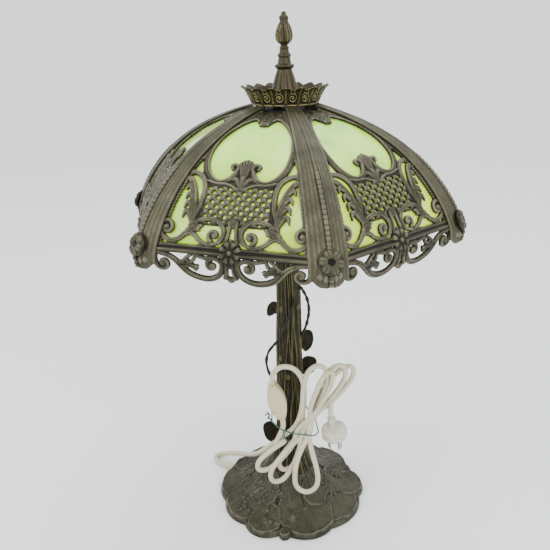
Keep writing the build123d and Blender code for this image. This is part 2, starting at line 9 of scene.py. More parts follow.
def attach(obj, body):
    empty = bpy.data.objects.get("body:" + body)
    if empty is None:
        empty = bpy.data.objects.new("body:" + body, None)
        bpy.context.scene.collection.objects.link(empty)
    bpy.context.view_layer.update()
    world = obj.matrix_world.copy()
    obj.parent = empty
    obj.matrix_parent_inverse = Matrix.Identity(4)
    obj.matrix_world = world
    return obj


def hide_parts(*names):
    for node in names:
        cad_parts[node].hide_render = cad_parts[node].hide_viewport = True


# Looks of the slag glass table lamp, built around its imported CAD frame. Blender works in metres. The lamp's
# own dimensions are in millimetres and become metres where a mesh is made.

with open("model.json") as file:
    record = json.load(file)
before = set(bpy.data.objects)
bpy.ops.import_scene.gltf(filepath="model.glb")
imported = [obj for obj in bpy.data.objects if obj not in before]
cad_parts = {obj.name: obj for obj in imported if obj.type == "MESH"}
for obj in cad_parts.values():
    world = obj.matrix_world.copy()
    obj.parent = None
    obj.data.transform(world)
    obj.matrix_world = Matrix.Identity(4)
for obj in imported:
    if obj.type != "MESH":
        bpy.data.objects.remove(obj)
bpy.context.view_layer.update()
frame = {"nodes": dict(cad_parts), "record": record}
MM = 0.001
TURN = 2 * math.pi
rng = np.random.default_rng(7)

# ---- driving dimensions (mm), as in the CAD ----
SIDES = 6
SIDE_ANGLE = 360 / SIDES
SIDE_TAN = math.tan(math.radians(SIDE_ANGLE / 2))
FIRST_SIDE = -90
FIRST_CORNER = FIRST_SIDE - SIDE_ANGLE / 2
SLOPE_START = (31.5, 525.5)
SLOPE_HEADING = 14.0
SLOPE_ARCS = ((230.0, 16.0), (182.0, 40.0), (42.0, 34.0))
RIB_TOP_WIDTH = 8.0
RIB_WIDENING = 0.1
BAR_AT = 191.2
CORD_D = 6.5
HANK_TURN = 19.6

# ================= camera, light and floor =================
CAMERA_AT = (0.22795, -0.67073, 0.59073)
CAMERA_AHEAD = (-0.32053, 0.87836, -0.35460)
CAMERA_RIGHT = (0.94207, 0.33464, -0.02262)
CAMERA_LENS = 40.4
FLOOR_HALF = 3.0


def placed(name, data):
    """An object in the scene for a mesh, a curve, a light or a camera."""
    made = bpy.data.objects.new(name, data)
    bpy.context.collection.objects.link(made)
    return made


def unit(degrees):
    """The cosine and sine of an angle in degrees."""
    angle = math.radians(degrees)
    return math.cos(angle), math.sin(angle)


def make_camera():
    """The camera, placed by its axes."""
    data = bpy.data.cameras.new("camera")
    data.lens = CAMERA_LENS
    data.sensor_width = 36.0
    data.clip_start = 0.01
    camera = placed("camera", data)
    right, ahead = Vector(CAMERA_RIGHT).normalized(), Vector(CAMERA_AHEAD).normalized()
    up = right.cross(ahead)
    turn = Matrix((right, up, -ahead)).transposed().to_4x4()
    camera.matrix_world = Matrix.Translation(CAMERA_AT) @ turn
    bpy.context.scene.camera = camera


def area_light(name, at, aim, size, power):
    """A round softbox that faces a point."""
    data = bpy.data.lights.new(name, "AREA")
    data.shape = "DISK"
    data.size = size
    data.energy = power
    light = placed(name, data)
    light.location = at
    light.rotation_euler = (Vector(aim) - Vector(at)).to_track_quat("-Z", "Y").to_euler()


def new_material(name, roughness, metallic=0.0, **sockets):
    """A Principled material with its even settings on the shader's own sockets."""
    material = bpy.data.materials.new(name)
    material.use_nodes = True
    shader = material.node_tree.nodes["Principled BSDF"]
    shader.inputs["Roughness"].default_value = roughness
    shader.inputs["Metallic"].default_value = metallic
    for socket, value in sockets.items():
        shader.inputs[socket.replace("_", " ")].default_value = value
    return material, shader


def make_studio():
    """A pale surround with three softboxes over a white floor."""
    world = bpy.data.worlds.new("studio")
    bpy.context.scene.world = world
    world.use_nodes = True
    background = world.node_tree.nodes["Background"]
    background.inputs["Color"].default_value = (0.95, 0.97, 0.98, 1)
    background.inputs["Strength"].default_value = 1.55
    area_light("key", (-1.3, -1.5, 2.0), (0, 0, 0.3), 1.6, 27)
    area_light("fill", (1.7, -1.3, 1.5), (0, 0, 0.3), 1.8, 25)
    area_light("top", (0.2, 0.6, 2.2), (0, 0, 0.4), 1.6, 16)
    corners = [(x * FLOOR_HALF, y * FLOOR_HALF, 0) for x, y in ((-1, -1), (1, -1), (1, 1), (-1, 1))]
    mesh = bpy.data.meshes.new("floor")
    mesh.from_pydata(corners, [], [(0, 1, 2, 3)])
    floor = placed("floor", mesh)
    mesh.materials.append(new_material("floor", 0.9, Base_Color=(0.90, 0.91, 0.92, 1))[0])


make_camera()
make_studio()


# ================= material kit =================
def node(material, kind, **settings):
    """A new shader node with its settings."""
    made = material.node_tree.nodes.new(kind)
    for key, value in settings.items():
        setattr(made, key, value)
    return made


def link(material, source, target):
    """Joins two sockets."""
    material.node_tree.links.new(source, target)


def noise(material, scale, detail=4.0, rough=0.6, stretch=(1, 1, 1), turn=(0, 0, 0)):
    """Noise in object space, with its own stretch, in waves per metre."""
    coords = node(material, "ShaderNodeTexCoord")
    mapping = node(material, "ShaderNodeMapping")
    mapping.inputs["Scale"].default_value = stretch
    mapping.inputs["Rotation"].default_value = turn
    texture = node(material, "ShaderNodeTexNoise")
    texture.inputs["Scale"].default_value = scale
    texture.inputs["Detail"].default_value = detail
    texture.inputs["Roughness"].default_value = rough
    link(material, coords.outputs["Object"], mapping.inputs["Vector"])
    link(material, mapping.outputs["Vector"], texture.inputs["Vector"])
    return texture.outputs["Fac"]


def ramp(material, source, *stops):
    """A colour ramp from (place, colour or grey level) stops."""
    made = node(material, "ShaderNodeValToRGB")
    link(material, source, made.inputs["Fac"])
    while len(made.color_ramp.elements) < len(stops):
        made.color_ramp.elements.new(0.5)
    for element, (place, colour) in zip(made.color_ramp.elements, stops):
        element.position = place
        element.color = (colour, colour, colour, 1) if np.isscalar(colour) else (*colour, 1)
    return made.outputs["Color"]


def mix(material, kind, amount, a, b):
    """Mixes two colours; amount, a and b are sockets or values."""
    made = node(material, "ShaderNodeMix", data_type="RGBA", blend_type=kind)
    for socket, value in ((made.inputs[0], amount), (made.inputs[6], a), (made.inputs[7], b)):
        if hasattr(value, "is_linked"):
            link(material, value, socket)
        elif socket.type == "RGBA":
            socket.default_value = (*value, 1)
        else:
            socket.default_value = value
    return made.outputs[2]


def bump(material, shader, source, height, strength):
    """A fine surface texture from noise, its height in metres."""
    made = node(material, "ShaderNodeBump")
    made.inputs["Strength"].default_value = strength
    made.inputs["Distance"].default_value = height
    link(material, source, made.inputs["Height"])
    link(material, made.outputs["Normal"], shader.inputs["Normal"])


def wear_of(material):
    """The mesh's wear: 0 in a crevice and 1 on a ridge."""
    return node(material, "ShaderNodeAttribute", attribute_name="wear").outputs["Fac"]


def uneven_roughness(material, shader, source, low, high, span=(0.3, 0.7)):
    """Roughness that wanders between two values."""
    dull = ramp(material, source, (span[0], low), (span[1], high))
    link(material, dull, shader.inputs["Roughness"])


def patinated(name, crevice, ground, ridge, roughness, metallic, mottle=0.35, rub=(0.62, 0.86), specular=0.5):
    """Cast metal whose crevices stay dark and whose ridges are rubbed bright, from its mesh's wear."""
    material, shader = new_material(name, 0.5, metallic, Specular_IOR_Level=specular)
    stops = (0.18, crevice), (0.46, ground), (rub[0], ground), (rub[1], ridge)
    body = ramp(material, wear_of(material), *stops)
    cloud = ramp(material, noise(material, 38, 5), (0.32, 1 - mottle), (0.7, 1 + mottle * 0.6))
    speck = ramp(material, noise(material, 420, 3), (0.35, 0.8), (0.65, 1.12))
    tinted = mix(material, "MULTIPLY", 1.0, body, cloud)
    link(material, mix(material, "MULTIPLY", 0.7, tinted, speck), shader.inputs["Base Color"])
    uneven_roughness(material, shader, noise(material, 90, 4), *roughness, span=(0.3, 0.72))
    bump(material, shader, noise(material, 700, 4), 0.00035, 0.5)
    return material


def plain_metal(name, colour, roughness):
    """Turned or plated metal with light scratches."""
    material, shader = new_material(name, roughness, 1.0)
    tone = ramp(material, noise(material, 160, 5), (0.3, tuple(c * 0.8 for c in colour)), (0.7, colour))
    link(material, tone, shader.inputs["Base Color"])
    scratches = noise(material, 300, 3, stretch=(1, 1, 0.1))
    uneven_roughness(material, shader, scratches, roughness * 0.8, roughness * 1.25)
    bump(material, shader, noise(material, 900, 3), 0.0002, 0.3)
    return material


def slag_glass():
    """Opal glass: pale green with milky white streaks; its wear says how deep its yellow-green is."""
    material, shader = new_material(
        "slag_glass", 0.13, 0.0, Transmission_Weight=0.04, IOR=1.5, Coat_Weight=0.35, Coat_Roughness=0.06,
    )
    folded = noise(material, 9, 6, 0.62, stretch=(1.0, 1.0, 0.45), turn=(0.2, 0.5, 0.4))
    streak = noise(material, 22, 5, 0.55, stretch=(1.6, 0.5, 0.35), turn=(0.5, 0.3, 0.9))
    pale = ramp(
        material, folded, (0.30, (0.30, 0.74, 0.03)), (0.45, (0.54, 0.94, 0.10)),
        (0.58, (0.71, 0.98, 0.22)), (0.78, (0.86, 0.99, 0.42)),
    )
    strong = ramp(
        material, folded, (0.30, (0.22, 0.50, 0.003)), (0.47, (0.42, 0.68, 0.008)),
        (0.62, (0.64, 0.84, 0.02)), (0.8, (0.80, 0.92, 0.10)),
    )
    green = mix(material, "MIX", wear_of(material), pale, strong)
    milk = ramp(material, streak, (0.54, 0.0), (0.8, 0.5))
    link(material, mix(material, "MIX", milk, green, (0.86, 0.97, 0.56)), shader.inputs["Base Color"])
    bump(material, shader, noise(material, 60, 3, stretch=(1, 1, 0.5)), 0.0012, 0.35)
    return material


def moulded_plastic(name, colour, shade, roughness, **sockets):
    """Smooth moulded plastic with faint yellowing and handling marks."""
    material, shader = new_material(name, roughness, 0.0, **sockets)
    tone = ramp(material, noise(material, 45, 4), (0.3, shade), (0.68, colour))
    link(material, tone, shader.inputs["Base Color"])
    uneven_roughness(material, shader, noise(material, 240, 4), roughness * 0.8, roughness * 1.3)
    bump(material, shader, noise(material, 1300, 2), 0.0001, 0.35)
    return material


def felt_cloth():
    """Green felt with a short nap."""
    material, shader = new_material("felt", 0.95, 0.0, Sheen_Weight=0.4)
    tone = ramp(material, noise(material, 900, 6), (0.3, (0.02, 0.07, 0.035)), (0.7, (0.05, 0.15, 0.08)))
    link(material, tone, shader.inputs["Base Color"])
    bump(material, shader, noise(material, 1500, 5), 0.0006, 0.8)
    return material


MATERIALS = {
    "shade_metal": patinated(
        "shade_bronze", (0.010, 0.008, 0.004), (0.064, 0.059, 0.033), (0.150, 0.139, 0.092),
        (0.38, 0.6), 0.5, specular=0.35,
    ),
    "crown_metal": patinated(
        "crown_bronze", (0.006, 0.005, 0.002), (0.046, 0.038, 0.015), (0.30, 0.255, 0.085),
        (0.3, 0.5), 0.6, rub=(0.6, 0.84),
    ),
    "stem_metal": patinated(
        "stem_bronze", (0.005, 0.004, 0.002), (0.021, 0.018, 0.009), (0.105, 0.088, 0.032),
        (0.42, 0.62), 0.35, 0.55, rub=(0.50, 0.86), specular=0.25,
    ),
    "base_metal": patinated(
        "base_bronze", (0.016, 0.015, 0.009), (0.056, 0.051, 0.034), (0.105, 0.097, 0.069),
        (0.40, 0.6), 0.4, specular=0.3,
    ),
    "shade_glass": slag_glass(),
    "brass": plain_metal("brass", (0.36, 0.25, 0.095), 0.42),
    "steel": plain_metal("steel", (0.48, 0.48, 0.47), 0.38),
    "felt": felt_cloth(),
    "cord_plastic": moulded_plastic("cord_sheath", (0.58, 0.53, 0.40), (0.50, 0.45, 0.33), 0.42),
    "switch_plastic": moulded_plastic(
        "switch_shell", (0.54, 0.48, 0.29), (0.47, 0.41, 0.24), 0.3, Coat_Weight=0.2,
    ),
    "plug_plastic": moulded_plastic(
        "plug_shell", (0.78, 0.74, 0.62), (0.70, 0.65, 0.52), 0.18, Transmission_Weight=0.35, Coat_Weight=0.3,
    ),
    "holder_plastic": moulded_plastic("holder_shell", (0.80, 0.79, 0.74), (0.74, 0.72, 0.66), 0.35),
    "bulb_glass": moulded_plastic(
        "frosted_glass", (0.90, 0.90, 0.88), (0.86, 0.86, 0.83), 0.28, Transmission_Weight=0.35,
    ),
    "tie_plastic": moulded_plastic("tie_coating", (0.004, 0.11, 0.055), (0.002, 0.07, 0.035), 0.4),
}


def dress_cad():
    """Gives every CAD node its material."""
    for part in frame["record"]["subparts"]:
        mesh = frame["nodes"][part["node"]].data
        mesh.materials.clear()
        mesh.materials.append(MATERIALS[part["material_slot"]])


dress_cad()


# ================= mesh kit =================
def slope(along, depth=0.0):
    """Radius, height and heading on a side's middle line, at distances down it and depths under its face."""
    along = np.asarray(along, float)
    x = np.full(along.shape, SLOPE_START[0])
    z = np.full(along.shape, SLOPE_START[1])
    heading = np.full(along.shape, math.radians(SLOPE_HEADING))
    left = along.copy()
    for index, (radius, sweep_angle) in enumerate(SLOPE_ARCS):
        last = index == len(SLOPE_ARCS) - 1
        step = left if last else np.minimum(left, radius * math.radians(sweep_angle))
        ahead = heading + step / radius
        x = x + radius * (np.sin(ahead) - np.sin(heading))
        z = z - radius * (np.cos(heading) - np.cos(ahead))
        heading = ahead
        left = left - step
    return x - depth * np.sin(heading), z - depth * np.cos(heading), heading


def rib_width(x):
    """Width of one flank of a rib at a distance from the axis."""
    return RIB_TOP_WIDTH + RIB_WIDENING * (x - SLOPE_START[0])


def turned(points, degrees):
    """Points turned about the axis."""
    c, s = unit(degrees)
    return points @ np.array([[c, s, 0], [-s, c, 0], [0, 0, 1]])


def around(radius, angle, z):
    """A grid of points from their distance from the axis, their angle about it and their height."""
    return np.stack(np.broadcast_arrays(radius * np.cos(angle), radius * np.sin(angle), z), -1)


def full_turn(count):
    """A row of angles evenly spaced round the axis."""
    return np.linspace(0, TURN, count, endpoint=False)[None, :]


def make_mesh(name, points, faces, wear):
    """A smooth mesh in metres, from points in millimetres and their wear: 0 in a crevice and 1 on a ridge."""
    mesh = bpy.data.meshes.new(name)
    mesh.from_pydata((np.asarray(points) * MM).tolist(), [], faces)
    mesh.shade_smooth()
    mesh.attributes.new("wear", "FLOAT", "POINT").data.foreach_set("value", wear.astype(np.float32))
    mesh.update()
    return mesh


def add_piece(name, data, body, slot, *replaces):
    """An object that rides on a body, wears a slot's material and stands in for CAD nodes."""
    piece = placed(name, data)
    if not data.materials:
        data.materials.append(MATERIALS[slot])
    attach(piece, body)
    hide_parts(*replaces)
    return piece


def add_shade_piece(name, cad_name, index, heading, slot, points, faces, wear):
    """One of the shade's six like pieces, drawn at heading 0 and turned from the first one's heading."""
    made = make_mesh(f"{name}_{index + 1}", turned(points, heading + SIDE_ANGLE * index), faces, wear)
    add_piece(f"{name}_{index + 1}", made, "shade", slot, f"{cad_name}_{index + 1}")


def thinned(mesh, ratio):
    """The same surface with fewer faces."""
    holder = placed("thinning", mesh)
    modifier = holder.modifiers.new("thin", "DECIMATE")
    modifier.ratio = ratio
    graph = bpy.context.evaluated_depsgraph_get()
    result = bpy.data.meshes.new_from_object(holder.evaluated_get(graph))
    bpy.data.objects.remove(holder)
    return result


def mesh_arrays(mesh):
    """The points (mm), faces and wear of a mesh."""
    points = np.empty(len(mesh.vertices) * 3)
    mesh.vertices.foreach_get("co", points)
    wear = np.empty(len(mesh.vertices))
    mesh.attributes["wear"].data.foreach_get("value", wear)
    return points.reshape(-1, 3) / MM, [tuple(p.vertices) for p in mesh.polygons], wear


def catmull(points, per_span=8):
    """A smooth line through the control points."""
    p = np.asarray(points, float)
    p = np.vstack([2 * p[0] - p[1], p, 2 * p[-1] - p[-2]])
    t = np.linspace(0, 1, per_span, endpoint=False)[:, None]
    spans = []
    for a, b, c, d in zip(p, p[1:], p[2:], p[3:]):
        square, cube = 2 * a - 5 * b + 4 * c - d, 3 * b - a - 3 * c + d
        spans.append(0.5 * (2 * b + (c - a) * t + square * t ** 2 + cube * t ** 3))
    return np.vstack([*spans, p[-2:-1]])


def share_along(line):
    """How far along a line each of its samples is, from 0 to 1."""
    steps = np.r_[0, np.cumsum(np.linalg.norm(np.diff(line, axis=0), axis=1))]
    return steps / steps[-1]


def spiral(centre, outer, inner, start, turn, count=26):
    """A volute from its outer radius to its inner one; angles in degrees, 0 across and 90 down the slope."""
    t = np.linspace(0, 1, count)
    angle = np.radians(start + turn * t)
    radius = outer + (inner - outer) * t ** 0.8
    return np.stack([centre[0] + radius * np.cos(angle), centre[1] + radius * np.sin(angle)], 1)


def smooth_step(value, low, high):
    """A soft rise from 0 at low to 1 at high."""
    t = np.clip((value - low) / (high - low), 0, 1)
    return t * t * (3 - 2 * t)


def bumps(distance, radius):
    """A rounded boss: 1 at its middle and 0 from its radius on."""
    return np.sqrt(np.clip(1 - (distance / radius) ** 2, 0, 1))


def blurred(field, reach):
    """A box blur, twice, over reach cells."""
    width = 2 * reach + 1
    for axis in (0, 1, 0, 1):
        lines = np.moveaxis(field, axis, 0)
        total = np.cumsum(np.pad(lines, ((reach, reach), (0, 0)), mode="edge"), 0)
        total = np.pad(total, ((1, 0), (0, 0)))
        field = np.moveaxis((total[width:] - total[:-width]) / width, 0, axis)
    return field


def spread(values, count):
    """One value or a few, spread evenly over count samples."""
    values = np.atleast_1d(values)
    return np.interp(np.linspace(0, 1, count), np.linspace(0, 1, len(values)), values)


def to_segment(du, ds, run):
    """The share of a segment at which it is nearest to each point, and how far away it is there."""
    t = np.clip((du * run[0] + ds * run[1]) / max(run @ run, 1e-9), 0, 1)
    return t, np.hypot(du - t * run[0], ds - t * run[1])


NO_METAL = -3.0


class Relief:
    """Raised work on a grid, U across a side and S down it. "high" is the height over the ground and "solid"
    how far inside the metal a point is; strokes are widened by "bold"."""

    def __init__(self, u_range, s_range, step):
        """A flat ground over the two ranges, with metal nowhere yet."""
        self.step = step
        self.u = np.arange(u_range[0], u_range[1] + step, step)
        self.s = np.arange(s_range[0], s_range[1] + step, step)
        self.U, self.S = np.meshgrid(self.u, self.s)
        self.high = np.zeros(self.U.shape)
        self.solid = np.full(self.U.shape, NO_METAL)
        self.bold = 1.0

    def stroke(self, line, half, high, cut=True):
        """A rounded bar along a line, with its half width and height spread along it."""
        line = np.asarray(line, float)
        half, high = spread(half, len(line)) * self.bold, spread(high, len(line))
        for a, b, wa, wb, ha, hb in zip(line, line[1:], half, half[1:], high, high[1:]):
            reach = max(wa, wb) + 1.5
            low, top = np.minimum(a, b) - reach, np.maximum(a, b) + reach
            i0, i1 = np.searchsorted(self.u, (low[0], top[0]))
            j0, j1 = np.searchsorted(self.s, (low[1], top[1]))
            if i0 >= i1 or j0 >= j1:
                continue
            area = (slice(j0, j1), slice(i0, i1))
            t, away = to_segment(self.U[area] - a[0], self.S[area] - a[1], b - a)
            width = wa + (wb - wa) * t
            self.high[area] = np.maximum(self.high[area], (ha + (hb - ha) * t) * bumps(away, width))
            if cut:
                self.solid[area] = np.maximum(self.solid[area], width - away)

    def curve(self, points, half, high, cut=True):
        """A rounded bar along the smooth line through the points."""
        self.stroke(catmull(points), half, high, cut)

    def bead(self, centre, radius, high):
        """A round boss."""
        self.stroke([centre, (centre[0] + 0.01, centre[1])], radius, high)

    def groove(self, line, half, depth):
        """A rounded groove along a line, its floor never under the ground."""
        before = self.high.copy()
        self.high = np.zeros(self.high.shape)
        self.stroke(line, half, 1.0, cut=False)
        self.high = np.maximum(before - depth * self.high, 0)

    def leaf(self, spine, half, high, lobes, side=1):
        """An acanthus leaf: a fat spine with pointed lobes off one side or, where side is 0, off both."""
        line = catmull(spine)
        along = share_along(line)
        self.stroke(line, [half * 0.6, half * 1.15, half, 0.4], [high * 0.8, high, high * 0.95, high * 0.4])
        for index in range(lobes):
            at = 0.15 + 0.66 * index / max(lobes - 1, 1)
            i = int(np.argmin(abs(along - at)))
            ahead = line[min(i + 2, len(line) - 1)] - line[max(i - 2, 0)]
            ahead = ahead / np.linalg.norm(ahead)
            length = half * (2.3 - 1.0 * at)
            for way in ((1, -1) if side == 0 else (side,)):
                across = np.array([-ahead[1], ahead[0]]) * way
                middle = line[i] + across * length * 0.62 + ahead * length * 0.35
                tip = line[i] + across * length * 0.85 + ahead * length * 0.95
                widths, heights = [half * 0.9, half * 0.68, 0.35], [high * 0.95, high * 0.9, high * 0.4]
                self.curve([line[i], middle, tip], widths, heights)
        self.groove(line[:-3], 0.5, 0.7)

    def wear(self):
        """From 0 in the crevices to 1 on the ridges."""
        lift = np.where(self.solid > 0, self.high, -1.2)
        return np.clip(0.5 + 0.55 * (lift - blurred(lift, max(1, round(2.2 / self.step)))), 0, 1)


# Corners of a cell are c0 to c3 round it and its edges e0 to e3 follow them, for marching squares.
CELL_CASES = {
    1: ["c0 e0 e3"], 2: ["c1 e1 e0"], 3: ["c0 c1 e1 e3"], 4: ["c2 e2 e1"], 5: ["c0 e0 e3", "c2 e2 e1"],
    6: ["c1 c2 e2 e0"], 7: ["c0 c1 c2 e2 e3"], 8: ["c3 e3 e2"], 9: ["c0 e0 e2 c3"],
    10: ["c1 e1 e0", "c3 e3 e2"], 11: ["c0 c1 e1 e2 c3"], 12: ["c2 c3 e3 e1"], 13: ["c0 e0 e1 c2 c3"],
    14: ["c1 c2 c3 e3 e0"], 15: ["c0 c1 c2 c3"],
}


def cut_sheet(relief, back):
    """The relief's metal as a closed plate with a flat back, in (u, s, height, wear) points and faces."""
    inside = relief.solid > 0
    inside[0, :] = inside[-1, :] = inside[:, 0] = inside[:, -1] = False
    fields = np.stack([relief.U, relief.S, relief.high, relief.wear()], -1)
    corner = np.full(inside.shape, -1)
    corner[inside] = np.arange(inside.sum())
    data = [fields[inside]]
    total = int(inside.sum())

    def crossings(a_slice, b_slice):
        """Adds the points where the metal's edge crosses the grid from a to b, and gives their numbers."""
        nonlocal total
        ids = np.full(inside[a_slice].shape, -1)
        crossed = inside[a_slice] != inside[b_slice]
        fa, fb = [
            np.where(inside[side][crossed], np.maximum(field, 1e-3), np.minimum(field, -1e-3))
            for side, field in ((end, relief.solid[end][crossed]) for end in (a_slice, b_slice))
        ]
        t = np.clip(fa / (fa - fb), 0.03, 0.97)[:, None]
        data.append(fields[a_slice][crossed] * (1 - t) + fields[b_slice][crossed] * t)
        ids[crossed] = total + np.arange(int(crossed.sum()))
        total += int(crossed.sum())
        return ids

    across = crossings((slice(None), slice(0, -1)), (slice(None), slice(1, None)))
    down = crossings((slice(0, -1), slice(None)), (slice(1, None), slice(None)))
    tokens = {
        "c0": corner[:-1, :-1], "c1": corner[:-1, 1:], "c2": corner[1:, 1:], "c3": corner[1:, :-1],
        "e0": across[:-1, :], "e1": down[:, 1:], "e2": across[1:, :], "e3": down[:, :-1],
    }
    code = inside[:-1, :-1] + 2 * inside[:-1, 1:] + 4 * inside[1:, 1:] + 8 * inside[1:, :-1]
    faces, rims = [], []
    for case, shapes in CELL_CASES.items():
        cells = code == case
        for shape in map(str.split, shapes):
            ring = np.stack([tokens[t][cells] for t in shape], 1)
            faces.extend(map(tuple, ring.tolist()))
            for k, (t, u) in enumerate(zip(shape, shape[1:] + shape[:1])):
                if t[0] == "e" and u[0] == "e":
                    rims.extend(zip(ring[:, k].tolist(), ring[:, (k + 1) % len(shape)].tolist()))
    front = np.vstack(data)
    rear = front.copy()
    rear[:, 2:] = back, 0.25
    closed = [tuple(reversed(f)) for f in faces]
    closed += [tuple(i + total for i in f) for f in faces]
    closed += [(q, p, p + total, q + total) for p, q in rims]
    return np.vstack([front, rear]), closed


def eased(along):
    """The pattern's distances down the side, let out a little where the slope bulges."""
    return along - 1.2 + 2.9 * smooth_step(along, 10, 110) + 2.4 * np.exp(-(((along - 105) / 32) ** 2))


def on_slope(points, ground):
    """(u, s, height) points laid on the side whose middle is along +X; ground is the depth of height 0."""
    x, z, _ = slope(eased(points[:, 1]), ground - points[:, 2])
    return np.stack([x, points[:, 0], z], 1)


# ================= the shade's filigree =================
PANEL_GROUND = 2.9
PANEL_BACK = -1.4
PANEL_STEP = 0.7


def closed_inside(relief, line):
    """How far inside a closed curve each point is, negative outside."""
    line = np.asarray(line, float)
    inside = np.zeros(relief.U.shape, bool)
    away = np.full(relief.U.shape, 99.0)
    for a, b in zip(line, np.roll(line, -1, 0)):
        run = b - a
        ds = relief.S - a[1]
        away = np.minimum(away, to_segment(relief.U - a[0], ds, run)[1])
        crosses = (a[1] > relief.S) != (b[1] > relief.S)
        inside ^= crosses & (relief.U < run[0] * ds / (run[1] or 1e-9) + a[0])
    return np.where(inside, away, -away)


# Half of the large opening's edge, from its top to the curl beside the palmette, and the palmette's own edge.
HEART_EDGE = (
    (0, 42), (4.5, 40), (9, 33.5), (12, 30.5), (19.5, 36), (29, 49), (36, 63), (39.6, 76), (40.4, 88),
    (38.8, 98), (35, 106), (29.5, 112), (24, 114.3), (18, 113), (13.4, 109), (11.2, 104),
)
PALMETTE_EDGE = (
    (11.2, 104), (15.5, 100.5), (16.2, 97), (12.8, 95), (8.6, 95.6), (6, 92.6), (2.6, 90.8), (0, 90.4),
)
HEART_MIDDLE = (0, 75)
NOTCH_EDGE = ((47.5, 90.5), (50.5, 97), (53.5, 105.6), (48, 107), (43.6, 106.6), (45.6, 99), (47.5, 90.5))
LATTICE_PITCH = 10.4
LATTICE_HOLE = 2.35
LATTICE_MIDDLE = 145
ROPE_PITCH = 3.4
SCROLL_BOLDNESS = 1.16
SKIRT_BOLDNESS = 1.3
BORDER_WIDTH = 3.2
RIB_OVERLAP = 6
BAR_LOWER_EDGE = 196
ROSETTE_AT = 190
LATTICE_DARKENS = (120, 160)
SKIRT_DARKENS = (180, 196)


def cut_openings(r, border):
    """Pierces the sheet: the large opening, the small one at its corner, the tall one beside the lattice."""
    heart = np.vstack([catmull(HEART_EDGE, 6), catmull(PALMETTE_EDGE, 6)])
    heart_in = closed_inside(r, np.vstack([heart, heart[::-1] * (-1, 1)]))
    notch_in = closed_inside(r, catmull(NOTCH_EDGE, 5))
    r.solid = np.minimum(r.solid, -np.maximum(heart_in, notch_in))
    side_in = closed_inside(r, (
        (37.5, 119), (45, 111), (52, 109.5), (57.5, 113), (edge_at(122) - BORDER_WIDTH, 121),
        (edge_at(116) - BORDER_WIDTH, 240), (30, 240), (30, 130),
    ))
    r.solid = np.where(r.S > 104, np.minimum(r.solid, np.maximum(border, -side_in)), r.solid)


def weave_lattice(r, border):
    """The pierced lattice: round holes between diagonal bars that swell where they cross."""
    area = np.minimum(38.5 + (r.S - 130) * 0.06 - r.U, np.minimum(r.S - 112, 164.5 - r.S))
    r.solid = np.where(r.S > 117, np.maximum(np.where(border > 0, r.solid, NO_METAL), area), r.solid)
    u, s = r.U / LATTICE_PITCH, (r.S - LATTICE_MIDDLE) / LATTICE_PITCH
    whole_u, whole_s, half_u, half_s = ((v % 1 - 0.5) * LATTICE_PITCH for v in (u + 0.5, s + 0.5, u, s))
    hole = np.minimum(np.hypot(whole_u, whole_s), np.hypot(half_u, half_s))
    knot = np.minimum(np.hypot(half_u, whole_s), np.hypot(whole_u, half_s))
    in_lattice = np.minimum(34 - r.U, np.minimum(r.S - 123, 163 - r.S))
    in_lattice = np.minimum(in_lattice, 36 - np.hypot(r.U * 0.7, r.S - 144))
    pierced = np.minimum(LATTICE_HOLE - hole, in_lattice)
    r.solid = np.where(in_lattice > -1, np.minimum(r.solid, -pierced), r.solid)
    bar = np.clip((hole - LATTICE_HOLE) / (LATTICE_PITCH / 2 - LATTICE_HOLE), 0, 1)
    woven = 0.25 + 0.75 * np.sqrt(bar) + 0.9 * bumps(knot, 1.9)
    r.high = np.where(in_lattice > 0, np.maximum(r.high, woven), r.high)


def panel_relief():
    """The cast work of one side. It is drawn for u over 0 and mirrored."""
    r = Relief((0, 104), (10, 226), PANEL_STEP)
    edge = edge_at(r.S)
    inner = edge - BORDER_WIDTH - 0.45 * np.sin(r.S * TURN / ROPE_PITCH)
    to_side = edge + RIB_OVERLAP - r.U
    border = np.minimum.reduce([to_side, r.U - inner, BAR_LOWER_EDGE - r.S])
    upper_plate = np.minimum.reduce([r.S - 12, 116 - r.S, to_side])
    r.solid = np.maximum.reduce([r.solid, upper_plate, border])
    cut_openings(r, border)
    weave_lattice(r, border)

    draw_heart_frame(r)
    draw_top_foliage(r)
    draw_palmette(r)
    r.bold = SCROLL_BOLDNESS
    draw_side_sprays(r)
    draw_scrolls(r)
    r.bold = SKIRT_BOLDNESS
    draw_skirt(r)
    r.bold = 1.0
    draw_bar_and_rosette(r)
    rope = 0.55 + 0.65 * np.abs(np.sin((r.S + 0.5 * (edge - r.U)) * math.pi / ROPE_PITCH))
    on_border = (border > 0) & (r.U > edge - 3.6) & (r.U < edge + 0.8)
    r.high = np.where(on_border, np.maximum(r.high, rope), r.high)
    return mirrored_relief(r)


def edge_at(along):
    """Where a rib's edge crosses a side, across from its middle, at distances down the pattern."""
    x, _, _ = slope(eased(along))
    return SIDE_TAN * x - rib_width(x)


def mirrored_relief(r):
    """The relief with its mirror image on the other side of u = 0."""
    full = Relief((-r.u[-1], r.u[-1]), (r.s[0], r.s[-1] - PANEL_STEP / 2), PANEL_STEP)
    full.u = np.r_[-r.u[:0:-1], r.u]
    full.s = r.s
    full.U, full.S = np.meshgrid(full.u, full.s)
    full.high = np.hstack([r.high[:, :0:-1], r.high])
    full.solid = np.hstack([r.solid[:, :0:-1], r.solid])
    return full


def draw_heart_frame(r):
    """The double moulding round the large opening."""
    line = catmull(HEART_EDGE[2:], 6)
    run = np.gradient(line, axis=0)
    run /= np.linalg.norm(run, axis=1)[:, None]
    away = np.stack([run[:, 1], -run[:, 0]], 1)
    from_middle = line - HEART_MIDDLE
    outward = ((from_middle + away * 2) ** 2).sum(1) > (from_middle ** 2).sum(1)
    away *= np.where(outward, 1, -1)[:, None]
    r.stroke(line + away * 1.3, 1.3, 1.5)
    r.stroke(line + away * 4.0, 0.95, 0.95)


